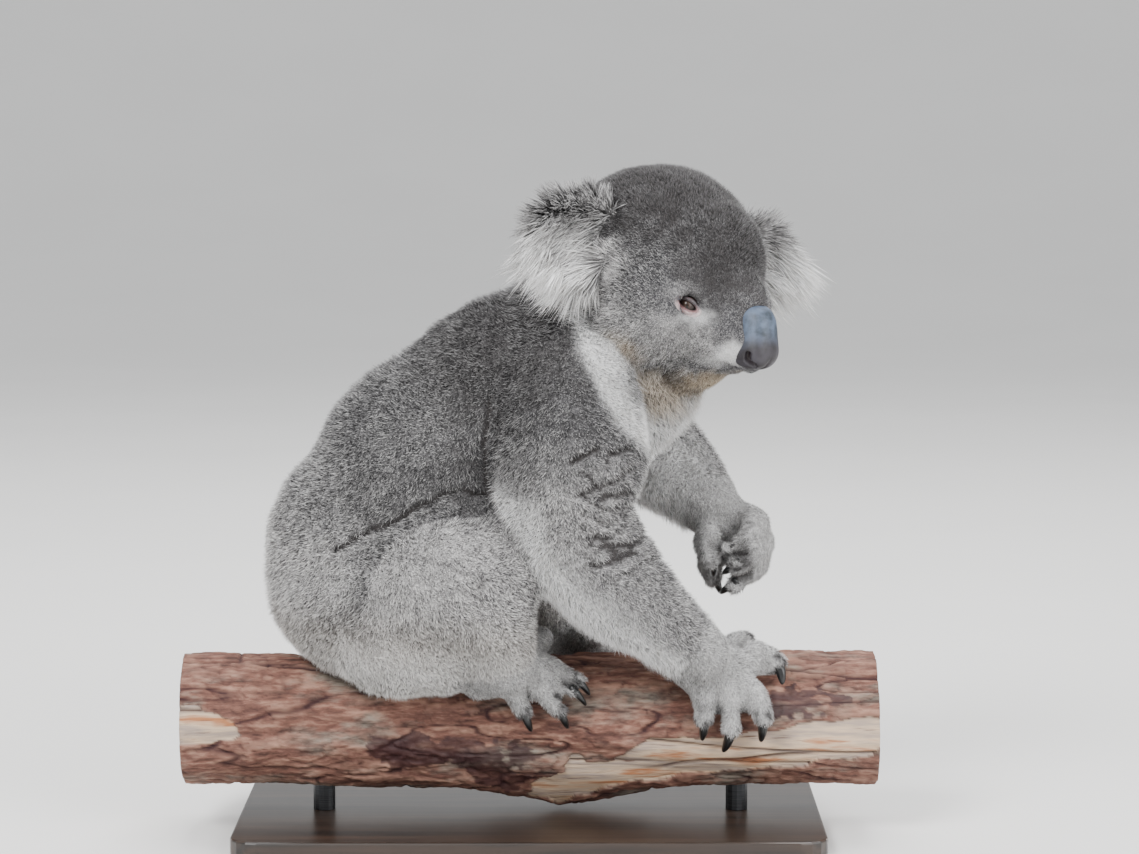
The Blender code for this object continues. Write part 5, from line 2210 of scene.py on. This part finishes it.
@dataclass
class Branch:
    """The cut length of gum branch, its bark peeled in patches, with sawn ends."""

    axis: float = 0.078
    radius: float = 0.0465
    knot: float = 0.013
    along: int = 380
    around: int = 230
    peels: tuple[Bare, ...] = (
        Bare(-0.24, 1.5, 0.034, 0.34, 3.0),
        Bare(0.165, 1.86, 0.12, 0.34, -3.0),
        Bare(0.095, 2.12, 0.06, 0.32, -7.0),
        Bare(0.045, 2.5, 0.05, 0.34, -6.0),
        Bare(-0.05, 4.6, 0.09, 0.36, 2.0),
    )
    gums: tuple[Bare, ...] = (
        Bare(-0.062, 1.95, 0.05, 0.28, 2.0),
        Bare(0.19, 1.05, 0.026, 0.3, 0.0),
        Bare(-0.02, 2.45, 0.02, 0.25, 0.0),
        Bare(0.06, 4.1, 0.03, 0.25, 0.0),
    )
    split_x: float = 0.15
    split_turn: float = 2.05
    split_slope: float = -3.0
    cap_rings: int = 8

    def swell(self, share: Array, turn: Array) -> Array:
        """The branch's broad shape: slow waves in its girth, and a knot beneath.

        Args:
            share: shares of its length.
            turn: turns from its top.

        Returns:
            What is added to its radius.
        """
        broad = 0.002 * np.sin(2 * turn + 3.1 * share) + 0.0014 * np.sin(3 * turn - 5.3 * share + 1.0)
        ridges = 0.0009 * np.sin(9 * turn + 4.0 * np.sin(6.0 * share))
        waves = 0.0012 * np.sin(17.0 * share + 1.7 * np.sin(turn)) * np.sin(turn + 0.6)
        under = np.maximum(0.0, -np.cos(turn - 0.25)) ** 3
        return broad + ridges + waves + self.knot * bell(share - 0.55, 0.1) * under

    def build(self, finish: Material) -> None:
        """Makes the branch as a radius over (share along it, turn from its top towards the right).

        To the broad shape the bark adds flakes, cell-shaped plates and cracks drawn out along the
        grain, and the peeled wood lies 2 mm lower with fine grain and long splits.

        Args:
            finish: the bark and the wood.
        """
        low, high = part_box("perch_log")
        share = np.linspace(0.0, 1.0, self.along)[:, None]
        turn = turns(self.around)[None, :]
        radius = self.radius + self.swell(share, turn)
        x = low.x + share * (high.x - low.x)
        place = np.stack(np.broadcast_arrays(x, np.cos(turn) * 0.048, np.sin(turn) * 0.048), axis=-1)
        drawn = place * [0.3, 1.0, 1.0]
        edge = 0.34 * cloud(place, 0.03, 31) + 0.22 * cloud(place, 0.011, 32)
        edge += 0.12 * cloud(drawn, 0.004, 38)
        peeled = np.maximum.reduce([patch.cover(x, turn, edge) for patch in self.peels])
        ooze = edge * 1.8 + 0.35 * cloud(place, 0.006, 48) + 0.25 * cloud(drawn, 0.0025, 49)
        gum = np.maximum.reduce([patch.cover(x, turn, ooze) for patch in self.gums])
        gum *= 0.75 + 0.25 * cloud(drawn, 0.007, 50)
        _, tone, border = clumps(drawn + 0.002 * cloud(place, 0.008, 39)[..., None], 0.0085, 33)
        plate = ramp(border, 0.0, 0.0016)
        cracks = ramp(np.abs(cloud(drawn * [0.7, 1, 1], 0.0125, 34)), 0.0, 0.085)
        rough = cloud(place, 0.0052, 35) + 0.6 * cloud(place, 0.0026, 36)
        bark = 0.0009 * (tone - 0.5) + 0.0007 * (plate - 1.0) + 0.0005 * rough - 0.0018 * (1.0 - cracks)
        bark += 0.0012 * cloud(place, 0.02, 40) + gum * 0.0012 * cloud(place, 0.0035, 42)
        split = fall(np.abs(cloud(drawn * [0.25, 1, 1], 0.017, 37)), 0.0, 0.045)
        strand = (turn - self.split_turn - self.split_slope * (x - self.split_x)
                  + 0.1 * cloud(place, 0.03, 54)) / 0.035
        span = fall(np.abs(x - self.split_x), 0.045, 0.075)
        split = np.maximum(split, np.exp(-(strand**2)) * span)
        grain = cloud(drawn * [0.3, 1, 1], 0.003, 43)
        wood = 0.0003 * grain - 0.002 - 0.0026 * split
        radius = radius + blend(bark, wood, peeled)
        # deep marks where painted shade goes: cracks, plate borders, splits, and the lip round each peeled
        # patch.
        deep = blend((1.0 - cracks) * 0.8 + (1.0 - plate) * 0.3, split * 0.85, peeled)
        lip = peeled * (1.0 - peeled) * 4.0
        deep = np.clip(np.maximum(deep, lip * 0.7), 0.0, 1.0)
        raised = np.clip((tone - 0.55) * 2.0 + 0.5 * rough, 0.0, 1.0) * (1.0 - peeled) * (1.0 - gum)
        rings = np.stack(np.broadcast_arrays(
            x, -radius * np.sin(turn), self.axis + radius * np.cos(turn)), axis=-1)
        caps = []
        for ring in (rings[0], rings[-1]):
            centre = np.array([ring[0, 0], 0.0, self.axis])
            caps.append(blend(centre, ring[None], np.linspace(0.0, 0.985, self.cap_rings)[:, None, None]))
        whole = np.concatenate([caps[0], rings, caps[1][::-1]])
        mesh = lathe("branch", whole)
        pad = np.zeros((self.cap_rings, self.around))
        for name, values, end in (("peeled", peeled, 1.0), ("deep", deep, 0.0), ("gum", gum, 0.0),
                                  ("high", raised, 0.0), ("sawn", 0.0 * raised, 1.0)):
            put_numbers(mesh, name, np.concatenate([pad + end, values, pad + end]))
        seal(mesh)
        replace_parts(piece("gum_branch", mesh, finish), "perch_log")


def dress_stand() -> None:
    """Gives the stand's own solids their finishes."""
    board, steel = BoardFinish().build(), SteelFinish().build()
    for name, finish in (("stand_base", board), ("stand_rod_back", steel), ("stand_rod_front", steel)):
        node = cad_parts[name]
        node.data.materials.clear()
        node.data.materials.append(finish)
        log.info("%s: %s", name, finish.name)


# ---------------------------------------------------------------- the studio
@dataclass
class Studio:
    """A pale floor that sweeps up behind, soft light and the camera."""

    target: tuple = (0.02844, 0.0, 0.2916)
    distance: float = 2.4
    elevation: float = 6.0
    view_width: float = 0.82008
    sensor: float = 36.0

    def build(self) -> None:
        """Makes all of it."""
        self.floor()
        self.lights()
        self.camera()

    def floor(self) -> None:
        """A disc just under the stand, flat for 4 m, whose rim sweeps up by a quarter of an ellipse."""
        turn = turns(120)
        climb = np.linspace(0.0, 0.5 * math.pi, 24)
        reach = np.concatenate([[0.0, 1.0, 2.5], 4.0 + 4.0 * np.sin(climb)])[:, None]
        height = np.concatenate([[0.0, 0.0, 0.0], 3.0 * (1.0 - np.cos(climb))])[:, None] - 0.0002
        rings = np.stack(np.broadcast_arrays(reach * np.cos(turn), reach * np.sin(turn), height), axis=-1)
        mesh = welded("floor", rings)
        paint = Paint("matt white paint")
        colour = paint.ramp(paint.noise(3.0, 2.0), (0.2, "#e4e3e1"), (0.8, "#e8e7e5"))
        mesh.materials.append(paint.done(colour, None, Roughness=0.9))
        placed("floor", mesh)

    def lights(self) -> None:
        """An overcast sky, with a large soft key light in front, high on the left."""
        world = bpy.data.worlds.new("soft light")
        world.use_nodes = True
        sky = world.node_tree.nodes["Background"]
        sky.inputs["Color"].default_value = linear("#e9ebee")
        sky.inputs["Strength"].default_value = 1.0
        bpy.context.scene.world = world
        for name, place, size, power in (("key", (-1.3, -1.9, 2.2), 1.2, 114.0),
                                         ("fill", (1.8, -1.4, 1.2), 1.8, 62.0),
                                         ("top", (0.2, 1.2, 2.4), 1.8, 68.0)):
            lamp = bpy.data.lights.new(name, "AREA")
            lamp.size = size
            lamp.energy = power
            holder = placed(name, lamp)
            holder.location = place
            aim = Vector(self.target) - Vector(place)
            holder.rotation_euler = aim.to_track_quat("-Z", "Y").to_euler()

    def camera(self) -> None:
        """The camera, level with the branch's side and a little above it."""
        lens = bpy.data.cameras.new("camera")
        lens.sensor_width = self.sensor
        lens.lens = self.sensor * self.distance / self.view_width
        holder = placed("camera", lens)
        tilt = math.radians(self.elevation)
        back = Vector((0.0, -math.cos(tilt), math.sin(tilt)))
        holder.location = Vector(self.target) + back * self.distance
        holder.rotation_euler = (-back).to_track_quat("-Z", "Y").to_euler()
        bpy.context.scene.camera = holder


def main() -> None:
    """Builds every piece in order."""
    logging.basicConfig(level=logging.INFO, format="%(name)s %(message)s")
    Studio().build()
    dress_stand()
    Branch().build(BarkFinish().build())

    head = head_axes()
    nose = Nose(head)
    nose.build(NoseFinish().build())
    ears = {side: Ear(side, middle("nose")) for side in SIDES}
    claws = [Claw(name, middle(name.rsplit("_claw", 1)[0]))
             for name in sorted(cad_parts) if "claw" in name]
    horn = HornFinish().build()
    for claw in claws:
        claw.build(horn)
    digits = [Digit(claw, *(FINGER if claw.node.startswith("hand") else TOE)) for claw in claws]
    skin = Skin(head, ears, digits, nose)
    skin.build()
    corner_uv = skin.unwrap()
    growth = Growth(skin, head, ears)
    growth.build()
    for key, values in growth.marks.items():
        put_numbers(skin.mesh, key, values)
    # The skin counts as a quarter of the way along a hair, so it takes the painted shade of the coat's
    # depth.
    put_numbers(skin.mesh, "along", np.full(len(skin.points), 0.25))
    skin.mesh.polygons.foreach_set("use_smooth", np.full(len(skin.mesh.polygons), True))
    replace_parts(piece("skin", skin.mesh, FurFinish().build(skin=True)), *FLESH)

    wet, lids = EyeFinish().build(), LidFinish().build()
    for side in SIDES:
        Eye(side, head, skin.whole).build(wet, lids)
    Coat(growth, corner_uv).build(FurFinish().build(skin=False))


if __name__ == "__main__":
    main()
